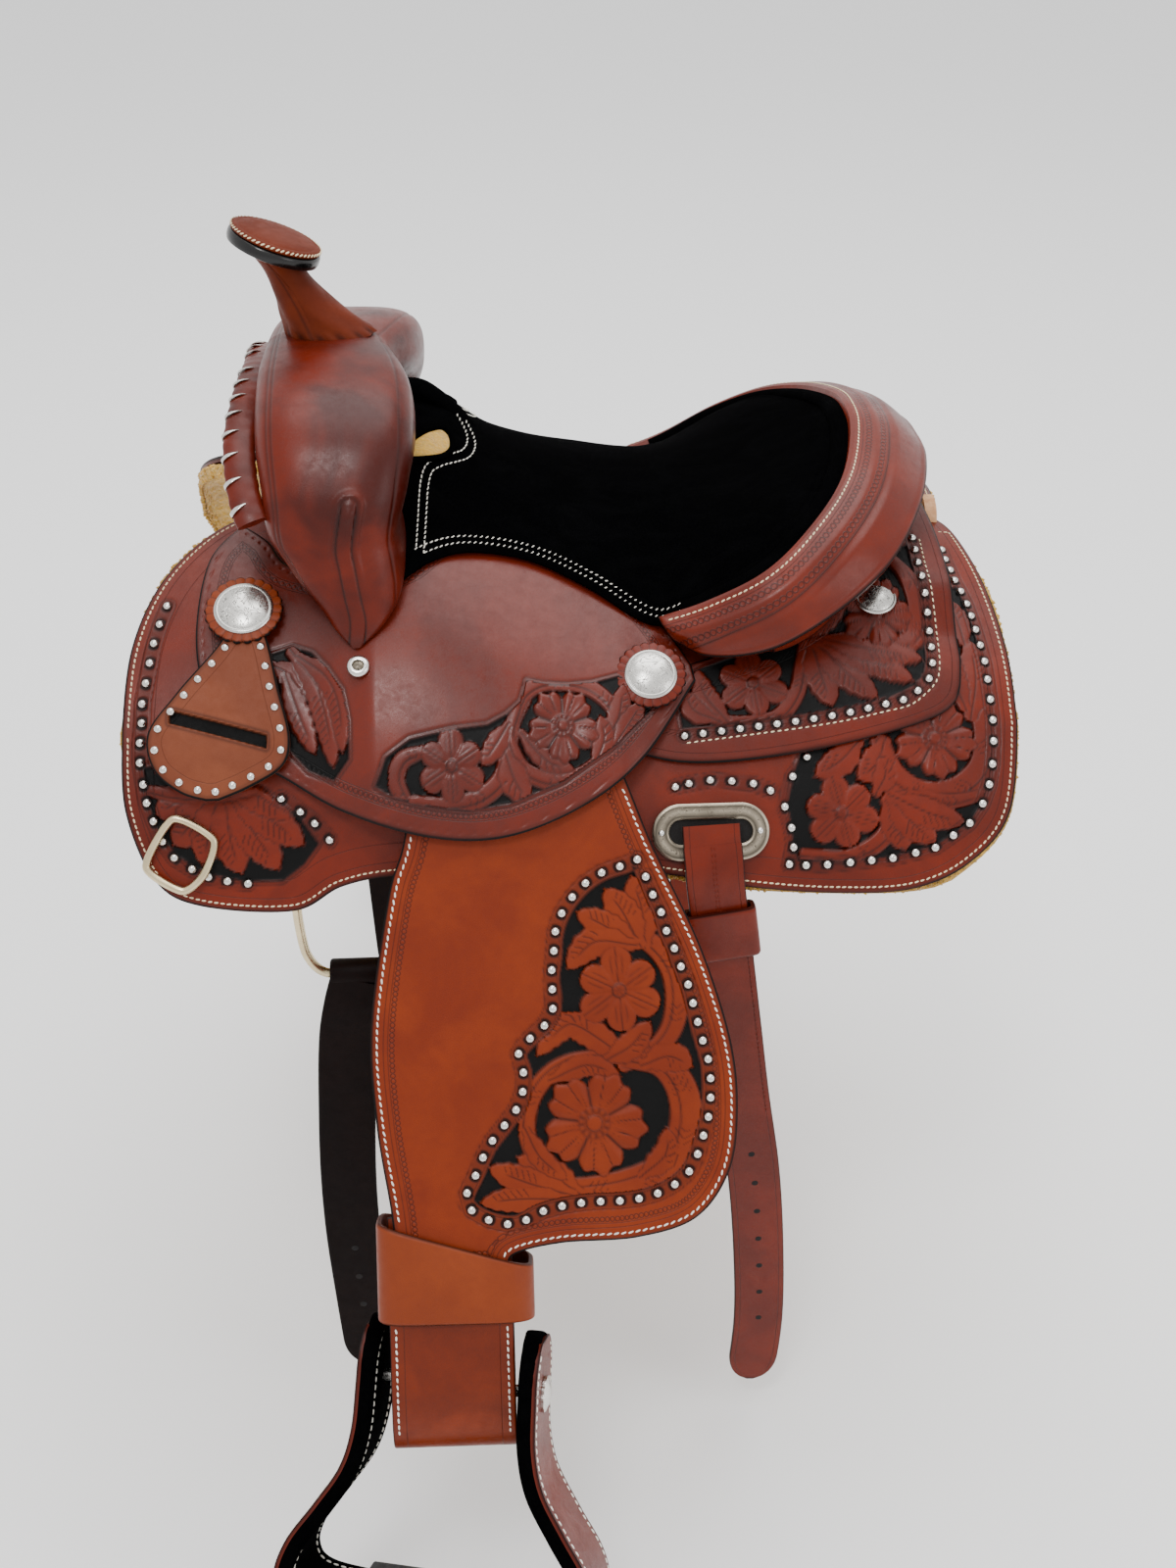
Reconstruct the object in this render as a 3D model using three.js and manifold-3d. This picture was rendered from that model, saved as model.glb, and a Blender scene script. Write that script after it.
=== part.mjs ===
// A youth western saddle, in millimetres: -X is towards the horse's head, +Z is up and -Y is the near
// (left) side. The origin is on the centre plane, level with the horse's back under the seat.
import * as THREE from 'three';
import { mergeVertices } from 'three/addons/utils/BufferGeometryUtils.js';
import Module from 'manifold-3d';

const wasm = await Module();
wasm.setup();

// ---- driving dimensions ----
const SIDE_RADIUS = 270;        // the skirts hang in an arc of this radius, measured in the YZ plane
const RIDGE_HEIGHT = 16;        // height of that arc on the centre plane
const SKIRT_DROP = 300;         // distance down the arc over which the rocker of the back fades out
const SKIRT_THICKNESS = 4.5;
const FLEECE_THICKNESS = 12;
const BAR_TOP = 17;             // tree bars, measured off the arc
const JOCKEY_THICKNESS = 4.5;
const REAR_JOCKEY_THICKNESS = 3.5;
const FENDER_LIFT = 13.5;       // fender's inner face, off the arc
const FENDER_THICKNESS = 5;
const PLUMB_START = 272;        // distance down the arc where the fender leaves it and hangs straight
const FLEX_LINE = 284;          // distance down where the fender bends, just clear of the jockey's edge
const SPLIT_GAP = 0.6;          // between the two halves of a leather that bends at a joint
const BILLET_WIDTH = 38;
const LATIGO_WIDTH = 40;
const NECK_WIDTH = 79;          // stirrup leather below the fender
const HORN_CAP_RADIUS = 31;
const HORN_TILT = 21 * Math.PI / 180;
const DEE_WIRE = 3.2;           // radius of the rigging dee's wire
const TREAD_WIDTH = 110;
const TREAD_DEPTH = 62;
const STIRRUP_YAW = 12 * Math.PI / 180;

// ---- colours ----
const leather = (color = 0x9a3a1c) =>
  new THREE.MeshStandardMaterial({ color, roughness: 0.42, metalness: 0 });
const tan = () => leather(0xa04a28);
const dark = () => leather(0x2a1310);
const suede = () => new THREE.MeshStandardMaterial({ color: 0x0c0b0c, roughness: 0.95, metalness: 0 });
const wool = () => new THREE.MeshStandardMaterial({ color: 0xe6d9b8, roughness: 1, metalness: 0 });
const wood = () => new THREE.MeshStandardMaterial({ color: 0xb28a58, roughness: 0.7, metalness: 0 });
const steel = () => new THREE.MeshStandardMaterial({ color: 0xc9c5ba, roughness: 0.25, metalness: 1 });
const rubber = () => new THREE.MeshStandardMaterial({ color: 0x101010, roughness: 0.5, metalness: 0 });

const saddle = new THREE.Group();
const v3 = (x, y, z) => new THREE.Vector3(x, y, z);
const v2 = (x, y) => new THREE.Vector2(x, y);
const spline2 = points => new THREE.SplineCurve(points.map(([x, y]) => v2(x, y)));
const spline3 = points => new THREE.CatmullRomCurve3(points.map(([x, y, z]) => v3(x, y, z)));

// ---- solids ----
function bare(geometry) {
  const copy = geometry.clone();
  for (const name of ['normal', 'uv', 'color']) copy.deleteAttribute(name);
  return mergeVertices(copy, 1e-4);
}

function volume(geometry) {
  const p = geometry.attributes.position;
  const corner = i => v3().fromBufferAttribute(p, geometry.index.getX(i));
  let sum = 0;
  for (let i = 0; i < geometry.index.count; i += 3) {
    sum += corner(i).dot(corner(i + 1).cross(corner(i + 2)));
  }
  return sum;
}

// A closed mesh with merged corners and faces that point out.
function solid(geometry) {
  const mesh = bare(geometry);
  if (volume(mesh) < 0) {
    const index = mesh.index.array;
    for (let i = 0; i < index.length; i += 3) [index[i], index[i + 1]] = [index[i + 1], index[i]];
  }
  return mesh;
}

function warp(geometry, place) {
  const p = geometry.attributes.position;
  for (let i = 0; i < p.count; i++) {
    const q = place(p.getX(i), p.getY(i), p.getZ(i));
    p.setXYZ(i, q.x, q.y, q.z);
  }
  return solid(geometry);
}

// A sheet of leather: u runs along it, v across it and k from its back to its face.
function sheet(along, across, place, deep = 1) {
  const blank = new THREE.BoxGeometry(1, 1, 1, along, across, deep);
  return warp(blank, (x, y, z) => place(x + 0.5, y + 0.5, z + 0.5));
}

function moved(geometry, matrix) {
  return solid(geometry.clone().applyMatrix4(matrix));
}

function toManifold(geometry) {
  const g = solid(geometry);
  return new wasm.Manifold(new wasm.Mesh({
    numProp: 3,
    vertProperties: new Float32Array(g.attributes.position.array),
    triVerts: new Uint32Array(g.index.array),
  }));
}

function fromManifold(body) {
  const mesh = body.getMesh();
  const g = new THREE.BufferGeometry();
  g.setAttribute('position', new THREE.BufferAttribute(new Float32Array(mesh.vertProperties), 3));
  g.setIndex(new THREE.BufferAttribute(new Uint32Array(mesh.triVerts), 1));
  return solid(g);
}

function cut(body, ...tools) {
  return fromManifold(tools.reduce((rest, tool) => rest.subtract(toManifold(tool)), toManifold(body)));
}

function join(...bodies) {
  const [first, ...rest] = bodies.map(toManifold);
  return fromManifold(rest.reduce((sum, body) => sum.add(body), first));
}

function common(a, b) {
  return fromManifold(toManifold(a).intersect(toManifold(b)));
}

function add(name, geometry, material) {
  const mesh = new THREE.Mesh(solid(geometry), material);
  mesh.name = name;
  saddle.add(mesh);
}

// Near pieces are modelled at -Y, and the far ones are their mirror images.
function addPair(name, geometry, material) {
  add(`${name}_near`, geometry, material);
  add(`${name}_far`, moved(geometry, new THREE.Matrix4().makeScale(1, -1, 1)), material.clone());
}

// ---- smooth profiles along the saddle ----
function profile(points) {
  const slope = (i) => {
    const [a, b] = [points[Math.max(i - 1, 0)], points[Math.min(i + 1, points.length - 1)]];
    return (b[1] - a[1]) / (b[0] - a[0]);
  };
  return x => {
    if (x <= points[0][0]) return points[0][1];
    if (x >= points.at(-1)[0]) return points.at(-1)[1];
    const i = points.findIndex(p => p[0] > x) - 1;
    const [[x0, y0], [x1, y1]] = [points[i], points[i + 1]];
    const [h, t] = [x1 - x0, (x - x0) / (x1 - x0)];
    const [t2, t3] = [t * t, t * t * t];
    return y0 * (2 * t3 - 3 * t2 + 1) + slope(i) * h * (t3 - 2 * t2 + t)
      + y1 * (3 * t2 - 2 * t3) + slope(i + 1) * h * (t3 - t2);
  };
}

const { lerp, smoothstep } = THREE.MathUtils;
const rocker = profile([[-300, 20], [-200, 26], [-100, 12], [0, -8], [100, -13], [200, -14], [290, -24]]);

// Height of the bare arc at a distance down it, on the near side for a > 0 and the far side for a < 0.
function sidePoint(x, a, n) {
  const slope = a / SIDE_RADIUS;
  const fade = Math.max(0, 1 - Math.abs(a) / SKIRT_DROP);
  const height = RIDGE_HEIGHT - SIDE_RADIUS * (1 - Math.cos(slope)) + rocker(x) * fade;
  return v3(x, -(SIDE_RADIUS + n) * Math.sin(slope), height + n * Math.cos(slope));
}

// A leather piece cut between two edges, each a list of [x, distance down the side].
function cutPiece(topEdge, bottomEdge, along, across, inner, thickness) {
  const [top, bottom] = [spline2(topEdge), spline2(bottomEdge)];
  return sheet(along, across, (u, v, k) => {
    const [p, q] = [top.getPointAt(u), bottom.getPointAt(u)];
    const [x, a] = [lerp(p.x, q.x, v), lerp(p.y, q.y, v)];
    return sidePoint(x, a, inner(x, a) + k * thickness);
  });
}

// ---- the seat's surfaces, measured off the arc ----
const seatLine = profile([[-106, 97], [-84, 87], [-56, 65], [-15, 48], [41, 40], [85, 38.5], [120, 44],
  [150, 55], [175, 69], [190, 80], [215, 90]]);
const seatCentre = x => seatLine(x) - RIDGE_HEIGHT - rocker(x);
const seatEdge = profile([[-106, 36], [-71, 35], [-32, 32], [6, 29], [49, 22], [70, 27], [85, 34],
  [119, 54], [150, 66], [174, 69], [188, 74], [215, 84]]);
const seatReach = profile([[-106, 115], [-71, 97], [-32, 103], [6, 122], [49, 146], [85, 139],
  [119, 131], [150, 109], [174, 90], [190, 80]]);
const seatFace = (x, a) => lerp(seatCentre(x), seatEdge(x), smoothstep(Math.abs(a) / seatReach(x), 0, 1));
const padThickness = (x, a) => lerp(9, 3, smoothstep(Math.abs(a) / seatReach(x), 0.5, 1));

const jockeyUpper = profile([[-225, 12], [-190, 14], [-110, 30], [-71, 29], [-32, 26], [6, 23.5],
  [50, 16], [74, 15]]);
const jockeyLower = profile([[-225, 11], [-200, 11.5], [-172, 14], [-150, 20], [-131, 26], [22, 26],
  [42, 21], [60, 17], [74, 15]]);
const jockeyFace = (x, a) => lerp(jockeyUpper(x), jockeyLower(x), smoothstep(a, 110, 205));
const jockeyBack = (x, a) => jockeyFace(x, a) - JOCKEY_THICKNESS;
const rearJockeyBack = (x, a) => lerp(BAR_TOP + 2.6, 6.1, smoothstep(a, 108, 152));

// ---- the tree: two bars, the fork and the cantle ----
function bar() {
  const top = [[-196, 66], [-150, 52], [-60, 34], [60, 26], [215, 24]];
  const bottom = [[-196, 100], [-150, 126], [-60, 118], [20, 102], [60, 95], [215, 95]];
  const blank = cutPiece(top, bottom, 12, 3, () => SKIRT_THICKNESS + 1.2, BAR_TOP - SKIRT_THICKNESS - 1.2);
  return cut(blank, swellSolid(-1.6, 0));
}

const forkOuter = spline2([[176, -9], [171, 16], [162, 50], [150, 86], [118, 121], [66, 139], [0, 144]]);
const forkInner = spline2([[84, 33], [81, 46], [76, 59], [67, 73], [50, 88], [26, 98], [0, 101]]);
const forkHalfLength = profile([[0, 9], [0.012, 14], [0.03, 20.5], [0.065, 27.5], [0.122, 34.5], [0.183, 39],
  [0.24, 42.5], [0.36, 47], [0.5, 51], [0.75, 50], [1, 42]]);
const forkMiddle = profile([[0, -144], [0.065, -143], [0.122, -147], [0.183, -152], [0.24, -156.5],
  [0.35, -155],
  [0.5, -155], [0.75, -158], [1, -165]]);

// The swell is an arch swept from its near tip over the top to its far tip. It is drawn in by inset.
function swellSolid(inset, start, rounds = 14, steps = 16) {
  const square = t => Math.sign(t) * Math.abs(t) ** 0.62;
  const tube = new THREE.CylinderGeometry(1, 1, 1, rounds, steps);
  return warp(tube, (x, y, z) => {
    const s = lerp(-1, 1, y + 0.5) * (1 - start);
    const [u, hand] = [1 - Math.abs(s), s < 0 ? -1 : 1];
    const [outer, inner] = [forkOuter.getPointAt(Math.max(u, 0)), forkInner.getPointAt(Math.max(u, 0))];
    const middle = outer.clone().add(inner).multiplyScalar(0.5);
    const reach = outer.clone().sub(middle);
    reach.setLength(reach.length() - inset);
    const radius = Math.hypot(x, z);
    const [c, d] = radius < 1e-6 ? [0, 0] : [square(x / radius) * radius, square(z / radius) * radius];
    const below = start < 0 && u < 0 ? u * 160 : 0;
    const along = forkMiddle(u) + c * Math.max(forkHalfLength(u) - inset, 3);
    return v3(along, hand * (middle.x + d * reach.x), middle.y + d * reach.y + below);
  });
}

function fork() {
  return common(swellSolid(4.6, -0.04), swellSolid(0, 0));
}

// The cover is a leather sleeve over the fork, open at its two tips.
function swellCover() {
  return cut(swellSolid(0, 0), swellSolid(4, -0.04));
}

const rim = spline2([[92, 140], [119, 131], [150, 109], [174, 74], [188, 31], [190, 0],
  [188, -31], [174, -74], [150, -109], [119, -131], [92, -140]]);

function cantleWood() {
  return sheet(20, 3, (u, v, k) => {
    const p = rim.getPointAt(u);
    const tangent = rim.getTangentAt(u);
    const reach = lerp(-26, 13, v);
    const [x, a] = [p.x + Math.abs(tangent.y) * reach, p.y + Math.sign(-tangent.y || 1) * tangent.x * reach];
    const top = seatFace(Math.min(x, 198), a) - 14;
    return sidePoint(x, a, lerp(BAR_TOP + 2, Math.max(top, BAR_TOP + 5), k));
  });
}

// ---- horn ----
const hornBase = v3(-162, 0, 136);
const hornHead = v3(-195, 0, 199);

function hornPlace(geometry) {
  const turn = new THREE.Matrix4().makeRotationY(HORN_TILT);
  turn.setPosition(hornHead);
  return moved(geometry, turn);
}

const disc = (radius, height, z, sides = 20) =>
  new THREE.CylinderGeometry(radius, radius, height, sides).rotateX(Math.PI / 2).translate(0, 0, z);

function hornWrap() {
  const neck = new THREE.CylinderGeometry(1, 1, 1, 14, 4);
  const half = profile([[0, 30], [0.2, 26], [0.45, 20.5], [0.75, 17], [1, 20]]);
  const top = v3(0, 0, -3.6).applyAxisAngle(v3(0, 1, 0), HORN_TILT).add(hornHead);
  const shape = warp(neck, (x, y, z) => {
    const t = y + 0.5;
    const r = half(t);
    const tilt = HORN_TILT * t;
    const offset = v3(x * r, z * r * lerp(0.82, 0.95, t), 0).applyAxisAngle(v3(0, 1, 0), tilt);
    return v3().lerpVectors(v3(hornBase.x, 0, hornBase.z + 8.6), top, t).add(offset);
  });
  return cut(shape, hornPost(9.4, 66));
}

function hornPost(radius, length) {
  const from = v3(-157.5, 0, 128);
  const to = v3(-194, 0, 196);
  const axis = to.clone().sub(from).normalize();
  const post = new THREE.CylinderGeometry(radius, radius, length, 16);
  post.applyQuaternion(new THREE.Quaternion().setFromUnitVectors(v3(0, 1, 0), axis));
  const middle = to.clone().addScaledVector(axis, -length / 2);
  return solid(post.translate(middle.x, middle.y, middle.z));
}

// ---- concho, ferrule and other turned pieces ----
function turned(outline, sides = 14) {
  return new THREE.LatheGeometry(outline.map(([r, z]) => v2(r, z)), sides).rotateX(Math.PI / 2);
}

// Stands a turned piece on the side of the saddle, its axis along the surface's outward normal.
function onSide(geometry, x, a, n) {
  const at = sidePoint(x, a, n);
  const out = sidePoint(x, a, n + 1).sub(at).normalize();
  const forward = v3(1, 0, 0);
  const up = v3().crossVectors(out, forward);
  const matrix = new THREE.Matrix4().makeBasis(forward, up, out).setPosition(at);
  return moved(geometry, matrix);
}

const concho = radius =>
  turned([[0, 0], [radius, 0], [radius, 1.2], [radius * 0.8, 3.2], [radius * 0.4, 4.6], [0, 5]]);

// ---- seat and leather ----
function seatPad() {
  const edge = spline2([[-104, 113], [-71, 97], [-32, 103], [6, 122], [49, 146], [85, 139],
    [119, 129], [150, 106], [172, 72], [184, 31]]);
  return sheet(16, 10, (u, v, k) => {
    const p = edge.getPointAt(u);
    const s = 2 * v - 1;
    const handHole = 22 * (1 - u) ** 8 * Math.cos(s * Math.PI / 2) ** 2;
    const [x, a] = [p.x + handHole, p.y * s];
    return sidePoint(x, a, seatFace(x, a) - (1 - k) * padThickness(x, a));
  });
}

function groundSeat() {
  const edge = spline2([[-80, 58], [-40, 68], [40, 70], [110, 68], [140, 60], [152, 44]]);
  return sheet(10, 6, (u, v, k) => {
    const p = edge.getPointAt(u);
    const [x, a] = [p.x, p.y * (2 * v - 1)];
    const top = seatFace(x, a) - padThickness(x, a) - 3;
    return sidePoint(x, a, lerp(BAR_TOP + 0.9, Math.max(top, BAR_TOP + 2), k));
  });
}

function seatJockey() {
  const top = [[-224, 76], [-205, 98], [-188, 148], [-150, 158], [-114, 150], [-98, 112], [-78, 82],
    [-30, 80], [10, 100], [46, 130], [72, 172]];
  const bottom = [[-225, 78], [-243, 104], [-249, 152], [-244, 190], [-229, 225], [-192, 246],
    [-154, 266], [-99, 281], [-50, 281], [1, 262], [39, 233], [74, 183]];
  return cut(cutPiece(top, bottom, 26, 6, jockeyBack, JOCKEY_THICKNESS), swellSolid(-0.8, 0));
}

function rearJockey() {
  const top = [[30, 178], [64, 171], [100, 159], [130, 147], [164, 123], [191, 86], [207, 42],
    [209, 12], [251, 14]];
  const bottom = [[22, 226], [60, 236], [104, 236], [162, 228], [221, 213], [246, 197], [253, 168]];
  return cutPiece(top, bottom, 16, 5, rearJockeyBack, REAR_JOCKEY_THICKNESS);
}

const skirtTop = [[-296, 212], [-292, 162], [-278, 118], [-255, 84], [-228, 62], [-190, 48],
  [-120, 34], [0, 22], [150, 14], [240, 8], [268, 8], [279, 60], [287, 150], [287, 205]];
const skirtBottom = [[-296, 218], [-294, 262], [-277, 304], [-249, 321], [-190, 326], [-158, 311],
  [-120, 305], [-40, 304], [40, 308], [102, 319], [160, 325], [212, 324], [250, 308], [277, 275], [287, 212]];

const LACE = { x: 262, y: 15, width: 9, thickness: 4 };
const laceHole = () =>
  new THREE.BoxGeometry(LACE.width + 2, LACE.thickness + 7, 60).translate(LACE.x, -LACE.y, 0);

function skirt() {
  return cut(cutPiece(skirtTop, skirtBottom, 26, 7, () => 0, SKIRT_THICKNESS), laceHole());
}

// The fleece shows past the leather's edge, and is cut away behind the front rigging dee.
function fleece() {
  const top = [[-299, 214], [-281, 114], [-229, 56], [-120, 30], [0, 18], [150, 12], [240, 11],
    [268, 14], [288, 90], [290, 205]];
  const bottom = [[-299, 218], [-280, 300], [-246, 317], [-214, 310], [-196, 290], [-110, 288],
    [-86, 300], [40, 312], [110, 324], [215, 328], [254, 311], [280, 277], [290, 212]];
  return cut(cutPiece(top, bottom, 18, 5, () => -FLEECE_THICKNESS - 1.7, FLEECE_THICKNESS), laceHole());
}

// ---- fender and stirrup leather, in distances down the side that run on straight past the flex line ----
const plumbSlope = PLUMB_START / SIDE_RADIUS;
const plumbDown = v3(0, -Math.cos(plumbSlope), -Math.sin(plumbSlope));
const plumbOut = v3(0, -Math.sin(plumbSlope), Math.cos(plumbSlope));

function hangPoint(x, a, n) {
  if (a <= PLUMB_START) return sidePoint(x, a, FENDER_LIFT + n);
  return sidePoint(x, PLUMB_START, FENDER_LIFT + n).addScaledVector(plumbDown, a - PLUMB_START);
}

function hanger() {
  const top = [[-92, 156], [-18, 156]];
  const bottom = [[-117, FLEX_LINE - SPLIT_GAP / 2], [39, FLEX_LINE - SPLIT_GAP / 2]];
  return sheet(5, 7, (u, v, k) => {
    const x = lerp(lerp(top[0][0], top[1][0], u), lerp(bottom[0][0], bottom[1][0], u), v);
    const a = lerp(top[0][1], bottom[0][1], v);
    const sunk = lerp(10.5 - FENDER_LIFT, 0, smoothstep(a, 170, 225));
    return hangPoint(x, a, sunk + k * FENDER_THICKNESS);
  });
}

function fender() {
  const front = spline2([[-117, FLEX_LINE + SPLIT_GAP / 2], [-128, 320], [-141, 402], [-139, 464],
    [-131, 522], [-129, 560]]);
  const rear = spline2([[39, FLEX_LINE + SPLIT_GAP / 2], [46, 300], [71, 357], [88, 416], [91, 462],
    [84, 500], [62, 528], [24, 539], [-24, 541], [-55, 548], [-56, 560]]);
  return sheet(4, 14, (u, v, k) => {
    const [p, q] = [front.getPointAt(v), rear.getPointAt(v)];
    return hangPoint(lerp(p.x, q.x, u), lerp(p.y, q.y, u), k * FENDER_THICKNESS);
  });
}

// A strip that follows a route of [distance down, distance off the fender's back] at a given width.
const NECK_X = -95;
const NECK_N = -14;
const NECK_SPLIT = 593;
function neckStrip(route, steps, width = NECK_WIDTH, thickness = 4, lean = 0) {
  const path = spline2(route);
  return sheet(steps, 1, (u, v, k) => {
    const [p, t] = [path.getPointAt(u), path.getTangentAt(u)];
    const off = (k - 0.5) * thickness;
    const x = NECK_X + (v - 0.5) * width - lean * (p.x - NECK_SPLIT);
    return hangPoint(x, p.x - t.y * off, p.y + t.x * off);
  });
}

function neckTop() {
  const front = neckStrip([[566, 2.4], [592, 2.4]], 2);
  const back = neckStrip([[524, -3], [548, -5], [572, -17], [592, -30.4]], 6);
  const stitched = neckStrip([[563, -8.4], [576, -8.4]], 1, NECK_WIDTH - 8, 18);
  return join(front, back, stitched);
}

function neckLoop() {
  return neckStrip([[594, 2.4], [636, 2.6], [659, -1.5], [671, -10], [671, -19], [659, -27],
    [636, -30.6], [594, -30.4]], 16);
}

// The hobble strap is a band round the fender's end and both strands of the stirrup leather.
function hobble() {
  const ring = (half, front, back) => {
    const shape = new THREE.Shape();
    shape.moveTo(-half, back);
    shape.lineTo(half, back);
    shape.lineTo(half + 4, (front + back) / 2);
    shape.lineTo(half, front);
    shape.lineTo(-half, front);
    shape.lineTo(-half - 4, (front + back) / 2);
    return shape;
  };
  const outer = ring(47, 9.6, -37);
  outer.holes.push(ring(43.4, 6.2, -33.6));
  const band = new THREE.ExtrudeGeometry(outer, { depth: 62, bevelEnabled: false, steps: 3 });
  const height = (x, z) => lerp(lerp(526, 556, x / 102 + 0.5), 590, z / 62);
  return warp(band, (x, y, z) => hangPoint(NECK_X + 3 + x, height(x, z), y));
}

// ---- stirrup, in its own frame: s across, d down from the bolt and m towards the rider's toe ----
const BOLT_A = 634;
const stirrupMatrix = (() => {
  const at = hangPoint(NECK_X, BOLT_A, NECK_N);
  const lean = 5 * Math.PI / 180;
  const down = plumbDown.clone().applyAxisAngle(plumbOut, -lean);
  const across = v3().crossVectors(down, plumbOut).normalize();
  across.applyAxisAngle(down, STIRRUP_YAW);
  const toe = v3().crossVectors(across, down).normalize();
  return new THREE.Matrix4().makeBasis(across, down, toe).setPosition(at);
})();

function stirrupFrame() {
  const half = [[-51, -38], [-51.5, 0], [-53, 30], [-60, 56], [-76, 82], [-92, 106], [-97, 126],
    [-88, 140], [-58, 145]];
  const route = spline2([...half, [0, 146], ...half.slice().reverse().map(([s, d]) => [-s, d])]);
  return sheet(28, 2, (u, v, k) => {
    const [p, t] = [route.getPointAt(u), route.getTangentAt(u)];
    const nearTop = Math.max(0, 1 - (p.y + 38) / 28);
    const depth = lerp(28, 33, smoothstep(p.y, 90, 140)) * Math.sqrt(1 - Math.min(nearTop, 0.97) ** 2);
    const off = (k - 0.5) * 10;
    return v3(p.x + t.y * off, p.y - t.x * off, (v - 0.5) * 2 * depth);
  });
}

const boltHole = (radius, length) =>
  new THREE.CylinderGeometry(radius, radius, length, 16).rotateZ(Math.PI / 2);

function stirrup() {
  return moved(cut(stirrupFrame(), boltHole(4.4, 140)), stirrupMatrix);
}

function stirrupBolt() {
  const shank = boltHole(4, 121);
  const head = new THREE.CylinderGeometry(11, 11, 3, 20).rotateZ(Math.PI / 2).translate(-60, 0, 0);
  const nut = new THREE.CylinderGeometry(8, 8, 5, 6).rotateZ(Math.PI / 2).translate(60.6, 0, 0);
  return moved(join(shank, head, nut), stirrupMatrix);
}

function treadPad() {
  return moved(new THREE.BoxGeometry(TREAD_WIDTH, 5, TREAD_DEPTH).translate(0, 136.4, 0), stirrupMatrix);
}

// ---- rigging hardware ----
const wireRing = (corners, wire, sides = 6, steps = 20) => {
  const loop = new THREE.CatmullRomCurve3(corners, true, 'catmullrom', 0.35);
  const across = corners[1].clone().sub(corners[0]);
  const onward = corners[2].clone().sub(corners[0]);
  const normal = v3().crossVectors(across, onward).normalize();
  const torus = new THREE.TorusGeometry(1, 0.5, sides, steps);
  return warp(torus, (x, y, z) => {
    const turn = (Math.atan2(y, x) / (2 * Math.PI) + 1) % 1;
    const [p, t] = [loop.getPointAt(turn), loop.getTangentAt(turn)];
    const outward = v3().crossVectors(t, normal);
    const across = (Math.hypot(x, y) - 1) * 2;
    return p.clone().addScaledVector(outward, across * wire).addScaledVector(normal, z * 2 * wire);
  });
};

const DEE_TOP = sidePoint(-150, 300, -6);
const DEE_DROP = 86;            // from the dee's top bar down to the bar that carries the latigo
function riggingDee() {
  const place = (dx, drop) => v3(DEE_TOP.x + dx, DEE_TOP.y, DEE_TOP.z - drop);
  return wireRing([place(-38, 0), place(-41, 34), place(-38, 69), place(-25, DEE_DROP), place(25, DEE_DROP),
    place(38, 69),
    place(41, 34), place(38, 0)], DEE_WIRE);
}

function breastDee() {
  const at = [[-263, 265], [-238, 279], [-245, 301], [-259, 311], [-281, 295]];
  const base = sidePoint(-258, 289, 8.4);
  const out = sidePoint(-258, 289, 9.4).sub(base);
  const down = v3().crossVectors(out, v3(1, 0, 0));
  const hand = down.z < 0 ? 1 : -1;
  const corner = (x, a) => base.clone().add(v3(x + 258, 0, 0)).addScaledVector(down, hand * (a - 289));
  return wireRing(at.map(([x, a]) => corner(x, a)), 2.6);
}

const PLATE = { x: 80, a: 282, half: 38, rise: 18.5 };
const stadium = (half, rise) => {
  const shape = new THREE.Shape();
  shape.absarc(half - rise, 0, rise, -Math.PI / 2, Math.PI / 2);
  shape.absarc(rise - half, 0, rise, Math.PI / 2, 3 * Math.PI / 2);
  return shape;
};

function rearPlate() {
  const shape = stadium(PLATE.half, PLATE.rise);
  shape.holes.push(stadium(27, 8));
  const plate = new THREE.ExtrudeGeometry(shape, { depth: 2.5, bevelEnabled: false, curveSegments: 6 });
  return onSide(plate, PLATE.x, PLATE.a, 6.4);
}

// A strap: route points down its middle, each side's width set by distance along it; cut round at its tip.
function strap(route, width, thickness, steps, out = v3(0, -1, 0.15)) {
  const path = spline3(route);
  const total = path.getLength();
  return sheet(steps, 2, (u, v, k) => {
    const [p, t] = [path.getPointAt(u), path.getTangentAt(u)];
    const side = v3().crossVectors(t, out).normalize();
    const face = v3().crossVectors(side, t).normalize();
    const tip = Math.max(0, 1 - (1 - u) * total / (width * 0.8));
    const half = width / 2 * Math.sqrt(Math.max(0.02, 1 - tip ** 2.4));
    return p.clone().addScaledVector(side, (v - 0.5) * 2 * half).addScaledVector(face, (k - 0.5) * thickness);
  });
}

const billetRoute = [[80, -250, -119], [81, -256, -130], [82, -259, -143], [88, -259, -185], [94, -259, -227],
  [100, -259, -269], [108, -259, -325], [120, -259, -400], [128, -259, -480], [132, -259, -560],
    [129, -259, -628]];
function rearBillet() {
  return strap(billetRoute, BILLET_WIDTH, 4, 12);
}

function billetKeeper() {
  const path = spline3(billetRoute);
  const frame = t => [path.getPointAt(t), path.getTangentAt(t)];
  const shell = (half, face, from, to) => sheet(2, 2, (u, v, k) => {
    const [p, t] = frame(lerp(from, to, u));
    const side = v3().crossVectors(t, v3(0, -1, 0.15)).normalize();
    const out = v3().crossVectors(side, t).normalize();
    return p.clone().addScaledVector(side, (v - 0.5) * 2 * half).addScaledVector(out, (k - 0.5) * 2 * face);
  });
  return cut(shell(24.2, 6.4, 0.09, 0.165), shell(20.4, 3.4, 0.06, 0.25));
}

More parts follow.
